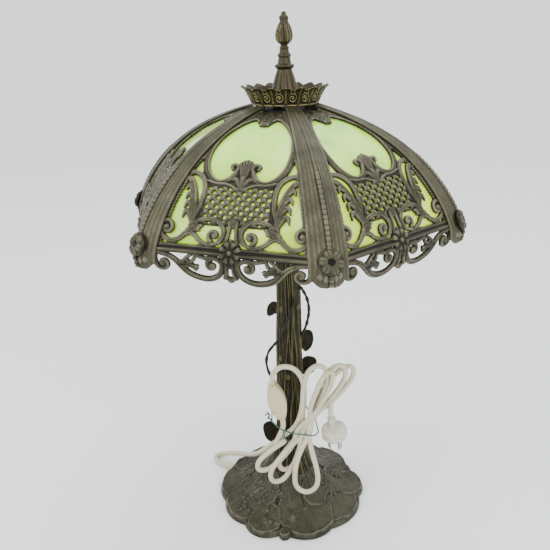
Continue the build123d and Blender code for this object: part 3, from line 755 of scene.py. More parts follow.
def draw_top_foliage(r):
    """Shallow leaves on the plate above the opening, with the drop at its middle."""
    r.leaf([(0, 16), (0.5, 28), (0, 41)], 3.4, 1.5, 4, side=0)
    r.leaf([(8, 28), (10, 20), (17, 15)], 2.0, 1.1, 3, side=1)
    for at in range(24, 85, 15):
        u = edge_at(at) - 4
        blade = [(u - 3.5, at - 5), (u - 0.6, at), (u + 0.6, at + 6)]
        r.curve(blade, [0.6, 1.4, 0.5], [0.4, 0.9, 0.3], cut=False)
    r.curve([(edge_at(at) - 2, at) for at in (20, 50, 80, 104)], 0.9, 0.8, cut=False)


def draw_palmette(r):
    """The shell that rises into the large opening, with a curl at its side."""
    curl = [(13, 112), (9.5, 106), (7.5, 100), (10.5, 96.4), (14.6, 97.6), (13.6, 101.4)]
    r.curve(curl, [2.4, 2.0, 1.6, 1.6, 1.6, 1.2], [1.2, 1.6, 1.9, 2.1, 2.0, 1.6])
    for lean, top in ((0, 91.2), (3.2, 92.4), (6.2, 94.8)):
        r.curve([(lean * 0.3, 112), (lean * 0.7, 102), (lean, top)], [0.9, 1.5, 1.2], [0.8, 1.9, 1.9])
    r.curve([(0, 124), (3.2, 118), (7, 113), (13, 112.5)], [2.2, 2.6, 2.2, 1.6], [0.9, 1.3, 1.3, 1.0])
    r.curve([(0, 125), (0, 112)], [1.4, 3.2], [1.2, 1.9])
    r.curve([(2, 125), (14, 119.6), (26, 118.6), (36, 116)], 1.3, 1.5)


def draw_side_sprays(r):
    """The scroll over the side opening and the acanthus that climbs beside the lattice."""
    arm = catmull([
        (61, 108.5), (54, 106.6), (46.5, 108.6), (40.5, 114), (37.2, 122), (36.6, 132), (38, 144), (42, 156),
    ])
    r.stroke(arm, [1.4, 1.9, 2.2, 2.3, 2.2, 2.2, 2.2, 2.0], [1.5, 1.9, 2.1, 2.1, 2.0, 1.9, 1.8, 1.6])
    r.groove(arm, 0.5, 0.7)
    r.curve([(59, 110.5), (62.5, 110.2), (edge_at(112), 112)], [1.4, 1.4, 1.6], 1.3)
    stem = [(43.0, 168), (43.2, 154), (44.4, 140), (47.2, 128), (51.4, 118), (55.6, 113.2)]
    r.curve(stem, [2.6, 2.8, 2.8, 2.5, 2.2, 1.0], [1.8, 2.1, 2.2, 2.1, 1.9, 1.2])
    blade_width, blade_high = [2.2, 2.9, 2.5, 1.5, 0.4], [1.6, 2.1, 2.0, 1.6, 0.8]
    for root, knee, bend, tip in (
        ((43.6, 162), (47.5, 153.5), (52.2, 151.6), (54.6, 158.6)),
        ((43.8, 152), (47.6, 143.8), (52.0, 142.4), (54.4, 148.6)),
        ((44.6, 142), (48.4, 134.2), (52.4, 132.6), (54.8, 138.4)),
        ((46.4, 131), (50.4, 124.4), (54.2, 123.2), (56.2, 128.0)),
        ((50.6, 120), (54.8, 115.0), (58.6, 115.8), (58.4, 121.0)),
    ):
        r.curve([root, knee, bend, tip], blade_width, blade_high)
        r.groove(catmull([root, knee, bend]), 0.45, 0.6)
    r.groove(catmull(stem[:-1]), 0.5, 0.7)
    r.curve([(38, 146), (41.5, 150), (43.6, 160)], [2.4, 3.2, 2.6], [1.0, 1.4, 1.6])


def draw_scrolls(r):
    """The arched scrolls under the lattice, the corner volutes, and the stem between them."""
    arch = catmull([
        (43.5, 168), (38, 161.6), (30, 158.6), (22, 158.2), (14.6, 161), (9.8, 167), (9.0, 174), (12.4, 180),
    ])
    curl = spiral((18.4, 174.3), 8.2, 2.4, 136, -330, 28)
    r.stroke(arch, [1.8, 2.2, 2.2, 2.2, 2.1], [1.6, 2.2, 2.2, 2.2, 2.0])
    r.groove(arch, 0.5, 0.7)
    r.stroke(curl[6:], [2.0, 1.7, 1.4], [2.0, 2.0, 2.2])
    r.bead((18.0, 174.0), 3.0, 2.6)
    r.leaf([(45, 166), (39.5, 164.6), (33.4, 168.0)], 2.4, 2.0, 2, side=0)
    r.leaf([(48, 174), (42, 169.4), (35.4, 170.6)], 2.0, 1.9, 2, side=1)
    r.curve([(3.4, 160), (3.8, 170), (5.8, 181)], [2.0, 1.5, 2.0], [1.5, 1.9, 1.9])
    r.curve([(0, 158), (0, 164.5)], [2.6, 1.6], [1.4, 1.7])
    r.curve([(0, 178), (0, 184)], [1.4, 4.0], [1.4, 1.6])
    wave = [
        (15, 181.6), (21, 183.4), (28, 182.6), (34, 179.6), (38.5, 175.4), (44, 172.6), (49, 174.2),
        (53, 178.2), (59, 181.4), (66, 181.6), (72.6, 177.6), (75.4, 171), (74.2, 164.6), (69.6, 161.8),
    ]
    r.curve(wave, [1.4, 1.8, 1.8, 1.8, 2.0, 2.4, 2.3, 2.1, 2.0, 2.0, 2.0, 1.9, 1.9, 1.8], 2.1)
    r.groove(catmull(wave[1:12]), 0.5, 0.8)
    r.stroke(spiral((69.2, 169.4), 7.6, 2.4, -92, -300, 26), [1.9, 1.7, 1.4], [2.1, 2.1, 2.3])
    r.bead((69.2, 169.2), 2.9, 2.6)
    r.curve([(28, 183), (31, 185), (36, 186)], [1.2, 1.6, 1.4], 1.2)
    r.curve([(56, 181), (60, 184), (66, 186)], [1.2, 1.6, 1.6], 1.2)
    r.curve([(75, 176), (78, 182), (79, 187)], [1.2, 1.6, 2.0], 1.4)
    r.curve([(44, 168), (46.5, 171), (47, 175)], [2.0, 2.4, 1.6], [1.9, 2.1, 1.9])


def draw_bar_and_rosette(r):
    """The two rounds of the bar and the flower at its middle."""
    end = edge_at(190) + 3
    r.stroke([(0, 186.6), (end, 186.6)], 1.5, 1.4)
    r.stroke([(0, 191.8), (end, 191.8)], 2.6, 2.3)
    r.stroke([(0, 189.0), (end, 189.0)], 2.0, 0.5)
    r.bead((0, ROSETTE_AT), 12.0, 1.9)
    for index in range(8):
        c, s = unit(22.5 + 45 * index)
        eye, middle, tip = [(out * c, ROSETTE_AT + out * s) for out in (4.4, 8.6, 11.2)]
        if middle[0] > -1:
            r.stroke([eye, middle], [1.6, 3.2], [2.9, 3.9])
            r.groove([eye, tip], 0.5, 0.8)
    r.bead((0, ROSETTE_AT), 3.3, 4.5)


def draw_skirt(r):
    """The open scrolls that hang under the bar."""
    hang = [
        (79.5, 195), (74, 195.8), (66, 197.4), (58, 201.6), (51, 208.6), (44.4, 215.2), (36, 219.8),
        (27, 221.6), (18.6, 219.8), (11.6, 214.4), (8.2, 207.2), (7.6, 200), (6.6, 195),
    ]
    r.curve(hang, [1.7, 2.0, 2.2, 2.3, 2.5, 2.7, 2.8, 2.8, 2.6, 2.4, 2.2, 2.2, 2.4], 2.4)
    r.groove(catmull(hang[2:11]), 0.6, 0.9)
    branch = [(8, 202), (12.6, 197.8), (18.6, 196.4), (25, 197.4), (30, 196.4), (36, 194.6)]
    r.groove(catmull(branch[1:5]), 0.5, 0.8)
    r.curve(branch, [1.5, 1.9, 1.9, 1.7, 1.7, 1.8], 2.1)
    r.stroke(spiral((18.6, 204.4), 6.4, 2.2, -84, 300, 26), [1.9, 1.7, 1.4], [2.1, 2.1, 2.4])
    r.bead((18.6, 204.6), 2.8, 2.8)
    r.curve([(56, 203.4), (50, 202.4), (45.6, 198.4), (41, 195)], [1.2, 1.5, 1.5, 1.4], 2.0)
    r.leaf([(52, 206.6), (44.6, 205.2), (38, 207.4), (33.2, 209.6)], 2.3, 2.1, 2, side=0)
    r.curve([(46, 200), (42, 202.6), (38.4, 200.4), (36.4, 195.4)], [1.4, 1.7, 1.5, 1.2], 2.0)
    r.curve([(80, 196), (79.8, 203), (78.0, 209.6)], [2.0, 1.8, 1.7], 2.2)
    r.stroke(spiral((71, 206.4), 8.0, 2.4, 24, 320, 28), [2.0, 1.8, 1.5], [2.2, 2.2, 2.5])
    r.bead((71, 206.4), 3.0, 2.9)
    r.curve([(3.8, 199), (3.6, 208), (4.6, 216), (1.6, 218)], [1.8, 1.5, 1.9, 1.6], 2.2)
    r.curve([(0, 199), (0, 203.6)], [4.0, 2.4], 1.6)
    r.bead((0, 219.4), 2.9, 2.8)
    r.bead((5.6, 217), 2.0, 2.3)


def build_panels():
    """The six cast sides, alike, darker towards the skirt."""
    flat, faces = cut_sheet(panel_relief(), PANEL_BACK)
    down = flat[:, 1]
    # The wear is lowered down the side, across the lattice and again towards the bar and skirt, so the metal
    # is darker there.
    darker_below = 0.10 * smooth_step(down, *LATTICE_DARKENS) + 0.14 * smooth_step(down, *SKIRT_DARKENS)
    mesh = make_mesh("panel_master", on_slope(flat, PANEL_GROUND), faces, flat[:, 3] - darker_below)
    panel = mesh_arrays(thinned(mesh, 0.34))
    for index in range(SIDES):
        add_shade_piece("filigree", "panel", index, FIRST_SIDE, "shade_metal", *panel)


build_panels()


# ================= shells from grids =================
def grid_faces(rows, columns, offset=0, flip=False, wrap=False):
    """Quads between the points of a grid; wrap joins the last column to the first."""
    faces = []
    for j in range(rows - 1):
        for i in range(columns if wrap else columns - 1):
            k = (i + 1) % columns
            quad = (j * columns + i, j * columns + k, (j + 1) * columns + k, (j + 1) * columns + i)
            faces.append(tuple(offset + v for v in (reversed(quad) if flip else quad)))
    return faces


def shell(front, back, wrap=False):
    """A closed wall between two grids of points, each (rows, columns, 3)."""
    rows, columns = front.shape[:2]
    count = rows * columns
    points = np.vstack([front.reshape(-1, 3), back.reshape(-1, 3)])
    faces = grid_faces(rows, columns, wrap=wrap) + grid_faces(rows, columns, count, flip=True, wrap=wrap)
    ids = np.arange(count).reshape(rows, columns)
    if wrap:
        closed = np.hstack([ids, ids[:, :1]])
        rims = [closed[0], closed[-1, ::-1]]
    else:
        rims = [ids[0], ids[-1, ::-1], ids[::-1, 0], ids[:, -1]]
    for rim in rims:
        faces += [(b, a, a + count, b + count) for a, b in zip(rim.tolist(), rim[1:].tolist())]
    return points, faces


def both_walls(front, back=0.3):
    """A shell's wear: a grid for its front and one value for its back."""
    return np.concatenate([front.reshape(-1), np.full(front.size, back)])


def joined(*pieces):
    """Several (points, faces, wear) as one."""
    points, faces, wear, offset = [], [], [], 0
    for p, f, w in pieces:
        points.append(p)
        faces += [tuple(offset + v for v in face) for face in f]
        wear.append(np.full(len(p), w) if np.isscalar(w) else w)
        offset += len(p)
    return np.vstack(points), faces, np.concatenate(wear)


def ridge_wear(height, reach=2, gain=0.55):
    """Wear from a grid of heights in millimetres."""
    return np.clip(0.5 + gain * (height - blurred(height, reach)), 0, 1)


def coil(across, up, pitch):
    """A raised spiral about a place, for points across and up from it, and how far from it they are."""
    out = np.hypot(across, up)
    return bumps((out / pitch - np.arctan2(up, across) / TURN) % 1 - 0.5, 0.26), out


def tube(line, radius, sides=14):
    """A closed tube along a line, with a radius for each sample."""
    ahead = np.gradient(line, axis=0)
    ahead /= np.linalg.norm(ahead, axis=1)[:, None]
    guide = (0.3, 0.2, 1.0) if abs(ahead[:, 2]).mean() < 0.8 else (1.0, 0.3, 0.0)
    across = np.cross(ahead, guide)
    across /= np.linalg.norm(across, axis=1)[:, None]
    over = np.cross(ahead, across)
    angle = full_turn(sides)[..., None]
    ways = np.cos(angle) * across[:, None] + np.sin(angle) * over[:, None]
    rings = line[:, None] + radius[:, None, None] * ways
    points = np.vstack([rings.reshape(-1, 3), line[:1], line[-1:]])
    faces = grid_faces(len(line), sides, wrap=True)
    start, end = len(points) - 2, len(points) - 1
    last_ring = (len(line) - 1) * sides
    for i in range(sides):
        k = (i + 1) % sides
        faces += [(start, k, i), (end, last_ring + i, last_ring + k)]
    return points, faces


# ================= ribs =================
RIB_START = 2.0
RIB_FOOT_CREST = 216.0
RIB_BACK = 1.7
FLOWER_R = 12.0
PETAL_OUT = 6.9
COS_CORNER = math.cos(math.radians(SIDE_ANGLE / 2))
# Distances down the rib over which each kind of work comes in.
REEDS_FROM = (20, 110)
BEADS_FROM = (104, 112)
LEAVES_FROM = (160, 180)
FOOT_LOBES_FROM = (198, 204)
BEAD_PITCH = 4.8


def rib_grid():
    """One flank of a rib: distances down it, shares of the way from its crest to its edge, and its width."""
    t = np.linspace(0, 1, 25)
    foot = RIB_FOOT_CREST - 6.5 * smooth_step(t, 0.42, 0.95) - 2.4 * np.exp(-(t / 0.09) ** 2)
    along = RIB_START + np.linspace(0, 1, 250)[:, None] * (foot[None, :] - RIB_START)
    return along, np.broadcast_to(t, along.shape), rib_width(slope(along)[0])


def rib_height(along, t, width):
    """Reeds down the whole rib, a bead line on its crest, and leaves below the flower."""
    away = t * width
    reeds = smooth_step(along, *REEDS_FROM) * np.abs(np.cos(t * math.pi * 4.5))
    high = 0.28 + 0.34 * reeds + 0.3 * (1 - t)
    edge = bumps(width - 1.2 - away, 1.3) * 0.75
    beads = smooth_step(along, *BEADS_FROM) * bumps((along / BEAD_PITCH) % 1 - 0.5, 0.46)
    seam = (0.1 + 0.95 * beads) * bumps(away, 1.5 + 0.7 * beads) - 0.45 * bumps(away - 2.6, 0.8)
    uneven = 0.05 * np.sin(along * 0.5 + 6 * t) * np.sin(along * 0.21 + 9 * t)
    leafy = 0.5 * smooth_step(along, *LEAVES_FROM) * bumps(t - 0.62, 0.2)
    lobes = 0.9 * bumps(np.hypot(away - 5, along - 207), 3.2)
    lobes = lobes + bumps(np.hypot(away - 10.5, along - 205.5), 3.0)
    lobes = smooth_step(along, *FOOT_LOBES_FROM) * lobes
    high = np.maximum.reduce([high, edge, leafy]) + seam + uneven + lobes
    return high * (1 - 0.75 * bumps(np.hypot(away, along - BAR_AT), FLOWER_R + 1))


def rib_flank(way):
    """The flank of the rib at heading 0 that lies on the next side, turning one way or the other."""
    along, t, width = rib_grid()
    high = rib_height(along, t, width)
    x, _, heading = slope(along)
    across = SIDE_TAN * x - t * width
    mitre = (1 - t) * RIB_BACK * SIDE_TAN * np.sin(heading)
    walls = []
    for depth, sideways in ((-high, across), (RIB_BACK, across - mitre)):
        wall_x, wall_z, _ = slope(along, depth)
        wall = np.stack([wall_x, -way * sideways, wall_z], -1)
        wall[:, 0, 1] = -way * SIDE_TAN * wall_x[:, 0]
        walls.append(wall[:, ::-way])
    points, faces = shell(*walls)
    rubbed = np.clip(ridge_wear(high[:, ::-way], 3, 0.8) + 0.12, 0, 1)
    return turned(points, way * SIDE_ANGLE / 2), faces, both_walls(rubbed)


def boss(high_of, radius, along, lift, depth, rings=22, spokes=72):
    """A round boss on a corner's crest at heading 0: high_of(distance, angle) gives its height."""
    x, z, heading = slope(along)
    lean = math.atan2(math.sin(heading), math.cos(heading) / COS_CORNER)
    down = np.array([math.cos(lean), 0, -math.sin(lean)])
    out = np.array([math.sin(lean), 0, math.cos(lean)])
    d, a = np.broadcast_arrays(np.linspace(0, radius, rings)[:, None], full_turn(spokes))
    high = high_of(d, a)
    flat = (x / COS_CORNER, 0, z) + (d * np.cos(a))[..., None] * down + (d * np.sin(a))[..., None] * (0, 1, 0)
    points, faces = shell(flat + (high + lift)[..., None] * out, flat - depth * out, wrap=True)
    return points, faces, both_walls(ridge_wear(high))


def flower_height(d, a):
    """Six fat petals round an eye."""
    high = 0.9 * bumps(d, FLOWER_R)
    for index in range(6):
        turn = a - TURN * index / 6 - 0.3
        away = np.hypot(d * np.cos(turn) - PETAL_OUT, d * np.sin(turn))
        crease = bumps(d * np.sin(turn), 0.8) * smooth_step(d, 3, 6)
        high = np.maximum(high, 3.1 * bumps(away, 4.8) - 0.6 * crease)
    return np.where(d < 2.6, 0.8 + 0.5 * bumps(d, 2.6), high)


def bead(radius, along):
    """A round bead on the crest."""
    return boss(lambda d, a: radius * 1.05 * bumps(d, radius), radius, along, 0.2, 1.0, 8, 24)


def build_ribs():
    """The six corner strips, alike, each with its flower and the two beads below it."""
    flower = boss(flower_height, FLOWER_R, BAR_AT, 1.0, 2.0)
    whole = joined(rib_flank(1), rib_flank(-1), flower, bead(2.8, 204.8), bead(2.1, 209.8))
    strip = mesh_arrays(thinned(make_mesh("rib_master", *whole), 0.55))
    for index in range(SIDES):
        add_shade_piece("corner", "rib", index, FIRST_CORNER, "shade_metal", *strip)


build_ribs()


# ================= glass =================
GLASS_SPAN = (16.0, 187.0)
GLASS_INSET = 5.0
GLASS_DEPTH = (4.75, 7.3)
GLASS_DEEPENS = (84, 132)
GLASS_WAVES = 7


def glass_wave(along, across):
    """The rolled glass's uneven face, different in each pane."""
    draw = rng.uniform
    wave = 0
    for _ in range(GLASS_WAVES):
        high = draw(0.05, 0.14)
        wave = wave + high * np.sin(along * draw(0.03, 0.16) + across * draw(-0.14, 0.14) + draw(0, 6))
    return wave


def build_glass():
    """The six bent panes; their wear deepens the colour below and towards their sides."""
    along, t = np.meshgrid(np.linspace(*GLASS_SPAN, 64), np.linspace(-1, 1, 56), indexing="ij")
    across = t * (SIDE_TAN * slope(along)[0] - GLASS_INSET)
    sideways = np.abs(t)
    deep = smooth_step(along, *GLASS_DEEPENS) * (0.75 + 0.25 * sideways)
    deep = deep + 0.5 * smooth_step(sideways, 0.6, 1.0)
    for index in range(SIDES):
        walls = []
        for depth in (GLASS_DEPTH[0] + glass_wave(along, across), GLASS_DEPTH[1]):
            x, z, _ = slope(along, depth)
            walls.append(np.stack([x, across, z], -1))
        pane = *shell(*walls), np.tile(deep.reshape(-1), 2)
        add_shade_piece("pane", "glass", index, FIRST_SIDE, "shade_glass", *pane)


build_glass()


# ================= crown =================
CROWN_LEAVES = 18
CROWN_FOOT = (37.2, 525.6)
CROWN_RIM = (47.0, 545.4)
CROWN_FLOOR = (525.5, 526.0)
CROWN_HOLE_R = 5.4
LEAF_WIDTH = 14.3


def crown_wall():
    """The pressed wall: a ring of leaves with a scroll between each two, its rim cut into leaf tips."""
    rows, columns = 34, CROWN_LEAVES * 30
    t = np.linspace(0, 1, rows)[:, None]
    angle = full_turn(columns)
    share = angle * CROWN_LEAVES / TURN
    local = share % 1 - 0.5
    side = np.abs(local)
    level = t * (1 - 0.17 * (2 * side) ** 1.5)
    edge_line = 0.14 + 0.30 * level ** 0.8
    leaf = 0.6 * (1 - smooth_step(side, edge_line - 0.03, edge_line + 0.03))
    outline = bumps(side - edge_line, 0.05) * smooth_step(level, 0.5, 0.7)
    rib = bumps(local * 12, 1.0) * smooth_step(level, 0.08, 0.2)
    ray = bumps(((level * 4.6 - side * 5.5) % 1) - 0.5, 0.2)
    ray = ray * smooth_step(side, 0.03, 0.07) * smooth_step(level, 0.25, 0.4)
    spiral_line, out = coil(((share + 0.5) % 1 - 0.5) * LEAF_WIDTH, (level - 0.42) * 19, 2.7)
    scroll = np.maximum(spiral_line * (1 - smooth_step(out, 4.6, 5.4)), bumps(out, 1.2))
    foot = 1.1 * bumps(level - 0.04, 0.04)
    high = np.maximum.reduce([leaf + 0.9 * rib + 0.6 * ray * leaf, 1.3 * outline, 1.5 * scroll, foot])
    high = high + 0.9 * bumps(1 - t, 0.07)
    curl = 1.6 * smooth_step(level, 0.78, 1.0) * (1 - 2 * side)
    flare = 0.45 * level + 0.55 * level ** 1.6
    radius = CROWN_FOOT[0] + (CROWN_RIM[0] - CROWN_FOOT[0]) * flare + curl
    z = CROWN_FOOT[1] + (CROWN_RIM[1] - CROWN_FOOT[1]) * level
    front = around(radius + high * 0.75 - 0.6, angle, z)
    back = around(radius - 0.9 + 0.3 * leaf - 0.2 * rib, angle, z)
    return *shell(front, back, wrap=True), both_walls(ridge_wear(high, 2, 0.8), 0.35)


def crown_floor():
    """The flat floor inside the wall, faintly rippled."""
    rho, angle = np.linspace(0, 1, 12)[:, None], full_turn(CROWN_LEAVES * 10)
    radius = CROWN_HOLE_R + rho * (CROWN_FOOT[0] - 0.8 - CROWN_HOLE_R)
    ripple = 0.0375 * np.sin(rho * 20) + 0.0225 * np.sin(angle * CROWN_LEAVES)
    top, under = around(radius, angle, CROWN_FLOOR[1] + ripple), around(radius, angle, CROWN_FLOOR[0])
    return *shell(top, under, wrap=True), 0.4


def build_crown():
    """The cup of leaves on top of the shade."""
    mesh = thinned(make_mesh("crown_leaves", *joined(crown_wall(), crown_floor())), 0.6)
    add_piece("crown_leaves", mesh, "shade", "crown_metal", "crown")


build_crown()


# ================= finial =================
FINIAL_PROFILE = (
    (16.2, 527.6), (16.3, 530), (15.4, 532), (15.8, 534), (14.4, 541), (12.4, 548), (10.3, 555),
    (8.3, 561), (8.5, 562.4), (9.8, 563.4), (10.2, 565), (9.7, 566.6), (7.8, 567.4), (7.3, 568.6),
    (6.5, 573.2), (6.9, 574.4), (7.4, 575.9), (6.9, 577.3), (5.8, 578.2), (4.7, 581.8), (5.3, 582.8),
    (5.3, 584), (4.0, 585.3), (4.4, 586.8), (6.8, 589), (8.1, 591.6), (8.9, 595), (8.4, 599.6),
    (7.2, 603.6), (5.8, 607), (4.5, 609.6), (3.9, 611), (4.5, 613), (4.0, 615.2), (2.6, 616.5),
    (2.6, 617.6), (2.3, 619.2), (1.2, 619.8), (0.0, 619.9),
)
FINIAL_BORE = (5.15, 549.0)
# Levels between which each part's work comes in, and between which it goes out.
CONE_LEVELS = (533, 537), (556, 560)
BUD_LEVELS = (587, 591), (605, 610)
TIP_LEVELS = (608, 611), (616, 618)
COLLAR_LEVEL = 565
SCROLL_LEVEL = 597.5


def between(value, comes_in, goes_out):
    """1 between two soft limits and 0 beyond them."""
    return smooth_step(value, *comes_in) * (1 - smooth_step(value, *goes_out))


def finial_height(angle, level):
    """Flutes on the cone, a reeded collar, and a bud of five petals with two scrolls on it."""
    cone = between(level, *CONE_LEVELS)
    flute = 0.9 * np.abs(np.sin(angle * 6)) ** 0.6 * cone * (0.5 + 0.5 * (562 - level) / 30)
    collar = 0.4 * np.abs(np.sin(angle * 10)) * bumps(level - COLLAR_LEVEL, 2.6)
    bud = between(level, *BUD_LEVELS)
    lobe = (angle * 5 / TURN + 0.006 * (level - 596)) % 1 - 0.5
    petal = 1.5 * bumps(lobe, 0.46) - 0.9 * bumps(lobe, 0.06)
    scroll, out = coil(((angle + 0.7) / math.pi % 1 - 0.5) * math.pi * 8.4, level - SCROLL_LEVEL, 2.4)
    scroll = 1.1 * scroll * (1 - smooth_step(out, 3.2, 4.2))
    tip = between(level, *TIP_LEVELS)
    leaves = 0.7 * np.abs(np.sin(angle * 2.5 + level * 0.3)) * tip
    return flute + collar + (np.where(out < 4.2, 0.7, petal) + scroll - 0.7) * bud + leaves - 0.4 * cone


def build_finial():
    """The finial, hollow where it screws on."""
    line = catmull(FINIAL_PROFILE, 5)
    radius, level = np.maximum(line[:, :1], 0), line[:, 1:]
    angle = full_turn(96)
    high = finial_height(angle, level)
    front = around(np.maximum(radius + high * np.clip(radius / 4, 0, 1), 0), angle, level)
    hollow = level < FINIAL_BORE[1]
    back_r = np.where(hollow, FINIAL_BORE[0], np.minimum(radius * 0.35, 2.5))
    back = around(back_r, angle, np.where(hollow, level, np.minimum(level, 616)))
    points, faces = shell(front, back, wrap=True)
    mesh = make_mesh("finial_cast", points, faces, both_walls(ridge_wear(high, 2, 0.9)))
    add_piece("finial_cast", mesh, "finial", "crown_metal", "finial")


build_finial()


# ================= stem =================
STEM_PROFILE = (
    (31.0, 44.0), (27.2, 49), (24.2, 56), (21.4, 67), (19.8, 90), (18.2, 144.0), (16.3, 288.0), (15.6, 350.0),
)
STEM_SPAN = (44, 349.9)
STEM_BORE_R = 6.2
FINE_RIDGES = 70
LONG_RIDGES = 26
KNOTS = 12


def winding(angle, level, heading, sway, pace, phase, drift=0.0):
    """How far round the stem each point is from a line that winds up it."""
    path = heading + sway * np.sin(level * pace + phase) + drift * (level - STEM_SPAN[0])
    return (angle - path + math.pi) % TURN - math.pi


def bark(angle, level):
    """Long ridges and roots that wind up the trunk, between finer ones, with a few knots."""
    draw = rng.uniform
    high = np.zeros(np.broadcast(angle, level).shape)
    for index in range(FINE_RIDGES):
        heading = TURN * index / FINE_RIDGES + draw(-0.03, 0.03)
        away = winding(angle, level, heading, draw(0.03, 0.11), draw(0.03, 0.08), draw(0, 6))
        swell = 0.55 + 0.45 * np.sin(level * draw(0.03, 0.07) + draw(0, 6))
        high = np.maximum(high, draw(0.6, 1.3) * swell * bumps(away, 0.034))
    for _ in range(LONG_RIDGES):
        path = draw(0, TURN), draw(0.12, 0.34), draw(0.018, 0.05), draw(0, 6), draw(-0.0024, 0.0024)
        low, top = draw(30, 150), draw(220, 390)
        fade = between(level, (low - 12, low), (top, top + 12))
        high = np.maximum(high, draw(1.4, 2.0) * bumps(winding(angle, level, *path), draw(0.04, 0.07)) * fade)
    for _ in range(KNOTS):
        heading, at = draw(0, TURN), draw(70, 330)
        away = np.hypot(winding(angle, level, heading, 0, 0, 0) * 17, (level - at) * 0.8)
        high = np.maximum(high, 1.3 * bumps(away, 4.2))
    return high


def build_stem():
    """The hollow trunk, flared into roots at its foot."""
    level, angle = np.linspace(*STEM_SPAN, 300)[:, None], full_turn(180)
    reach, height = np.array(STEM_PROFILE).T
    high = bark(angle, level)
    roots = 2.4 * (1 - smooth_step(level, 46, 88)) * np.abs(np.sin(angle * 3.5 + 0.4)) ** 0.7
    front = around(np.interp(level, height, reach) - 2.1 + high + roots, angle, level)
    points, faces = shell(front, around(STEM_BORE_R, angle, level), wrap=True)
    wear = both_walls(np.clip(ridge_wear(high, 4, 0.6) + 0.04 * high, 0, 1))
    mesh = thinned(make_mesh("trunk", points, faces, wear), 0.6)
    add_piece("trunk", mesh, "root", "stem_metal", "trunk_stem")


build_stem()


# ================= base =================
# Heading, reach from the axis and radius of each lobe of the outline.
BASE_LOBES = (
    (-165, 99.5, 58), (-127, 99.5, 45), (-97, 103, 30), (-77, 100.5, 7), (-55, 101.5, 42), (-16, 100.5, 60),
    (19, 100.5, 34), (40, 92.5, 16), (64, 99, 42), (99, 98, 46), (137, 95.5, 46), (166, 96, 20),
)
BASE_CORE = 60.0
BASE_HOLE_R = 16.5
BASE_UNDER = 1.55
BASE_LOWEST_TOP = 1.8
BASE_WALL = 3.6
BASE_SKIN = 4.2
BASE_RISE = (
    (17, 44), (31, 43.6), (36, 36.5), (42, 30), (52, 23.2), (62, 17.6), (75, 12.2), (88, 8.4), (99, 7),
    (110, 6.2),
)
# Heading, distance from the axis and radius of each lily pad and bloom.
PADS = (
    (-165, 66, 35), (99, 64, 35), (-16, 64, 37), (137, 60, 36), (-127, 63, 36), (64, 64, 35), (-55, 64, 37),
    (19, 72, 28), (166, 75, 21), (-97, 80, 22), (40, 78, 14), (-34, 50, 17), (-142, 52, 17), (80, 50, 16),
    (-77, 93, 7),
)
BLOOMS = ((-8, 58, 14), (28, 62, 12), (-172, 56, 12), (118, 56, 12), (-70, 74, 8))
FLORET_SECTOR = (-138, -84)
FLORETS = 34
ROOTS = 34


def outline_reach(angle):
    """How far the base reaches at each angle: the furthest of its lobes there."""
    reach = np.full(angle.shape, BASE_CORE)
    for heading, far, lobe in BASE_LOBES:
        off = angle - math.radians(heading)
        sine = (far - lobe) * np.sin(off)
        ahead = (far - lobe) * np.cos(off) + np.sqrt(np.maximum(lobe ** 2 - sine ** 2, 0))
        reach = np.maximum(reach, np.where(np.abs(sine) < lobe, ahead, 0))
    return reach


def polar_from(x, y, heading, out):
    """Distance and angle of each point from a place on the base."""
    c, s = unit(heading)
    return np.hypot(x - out * c, y - out * s), np.arctan2(y - out * s, x - out * c)


def add_pad(high, x, y, heading, out, size):
    """A lily pad with a waved, raised rim, veins and a slit."""
    d, b = polar_from(x, y, heading, out)
    rim = size * (1 + 0.035 * np.sin(b * 5 + heading) + 0.02 * np.sin(b * 11 + out))
    dish = 0.8 + 1.1 * (d / rim) ** 2 + 0.5 * bumps(d - rim + 1.6, 1.6)
    vein = 0.55 * bumps(((b * 11 / TURN + 0.04 * np.sin(d * 0.5)) % 1 - 0.5) * d * 0.9, 0.8)
    vein = vein * between(d, (2, 6), (rim - 5, rim - 2))
    off = (b - math.radians(heading) + TURN) % TURN - math.pi
    slit = bumps(off * d, 1.1) * smooth_step(d, 2, 5)
    uneven = 0.35 * np.sin(x * 0.37 + out) * np.sin(y * 0.33 + size)
    pad = dish + vein + uneven - 1.3 * slit + 0.7 * bumps(d, 2.4)
    pad = pad * (1 - smooth_step(d, rim - 0.8, rim + 0.3))
    return np.where(d < rim + 0.3, np.maximum(pad, high * 0.2), high)


def add_bloom(high, x, y, heading, out, size):
    """An open water lily in two rings of creased petals, with a seeded eye."""
    d, b = polar_from(x, y, heading, out)
    for petals, share, level, phase in ((9, 1.0, 1.9, 0.0), (7, 0.66, 3.0, 0.5)):
        local = ((b * petals / TURN + phase) % 1 - 0.5) * 2
        reach = size * share * (1 - 0.5 * np.abs(local) ** 1.6)
        rise = np.clip(1 - d / reach, 0, 1) ** 0.4
        petal = (level + 1.1 * d / size - 0.5 * bumps(local * d, 0.9)) * np.minimum(1, rise * 1.6)
        high = np.where(d < reach, np.maximum(high * 0.2, petal), high)
    return np.maximum(high, (3.6 + 0.4 * np.sin(b * 8) * bumps(d - 2.2, 1.2)) * bumps(d, 3.0))


def add_floret(high, x, y, heading, out, size):
    """A small five-petalled flower of the cluster."""
    d, b = polar_from(x, y, heading, out)
    reach = size * (0.72 + 0.28 * np.cos(5 * b + heading))
    petal = (1.5 + size * 0.16) * bumps(d, np.maximum(reach, 0.5)) ** 0.7
    eye = (2.3 + size * 0.2) * bumps(d, size * 0.28)
    return np.where(d < reach, np.maximum.reduce([petal, eye, high * 0.5]), high)


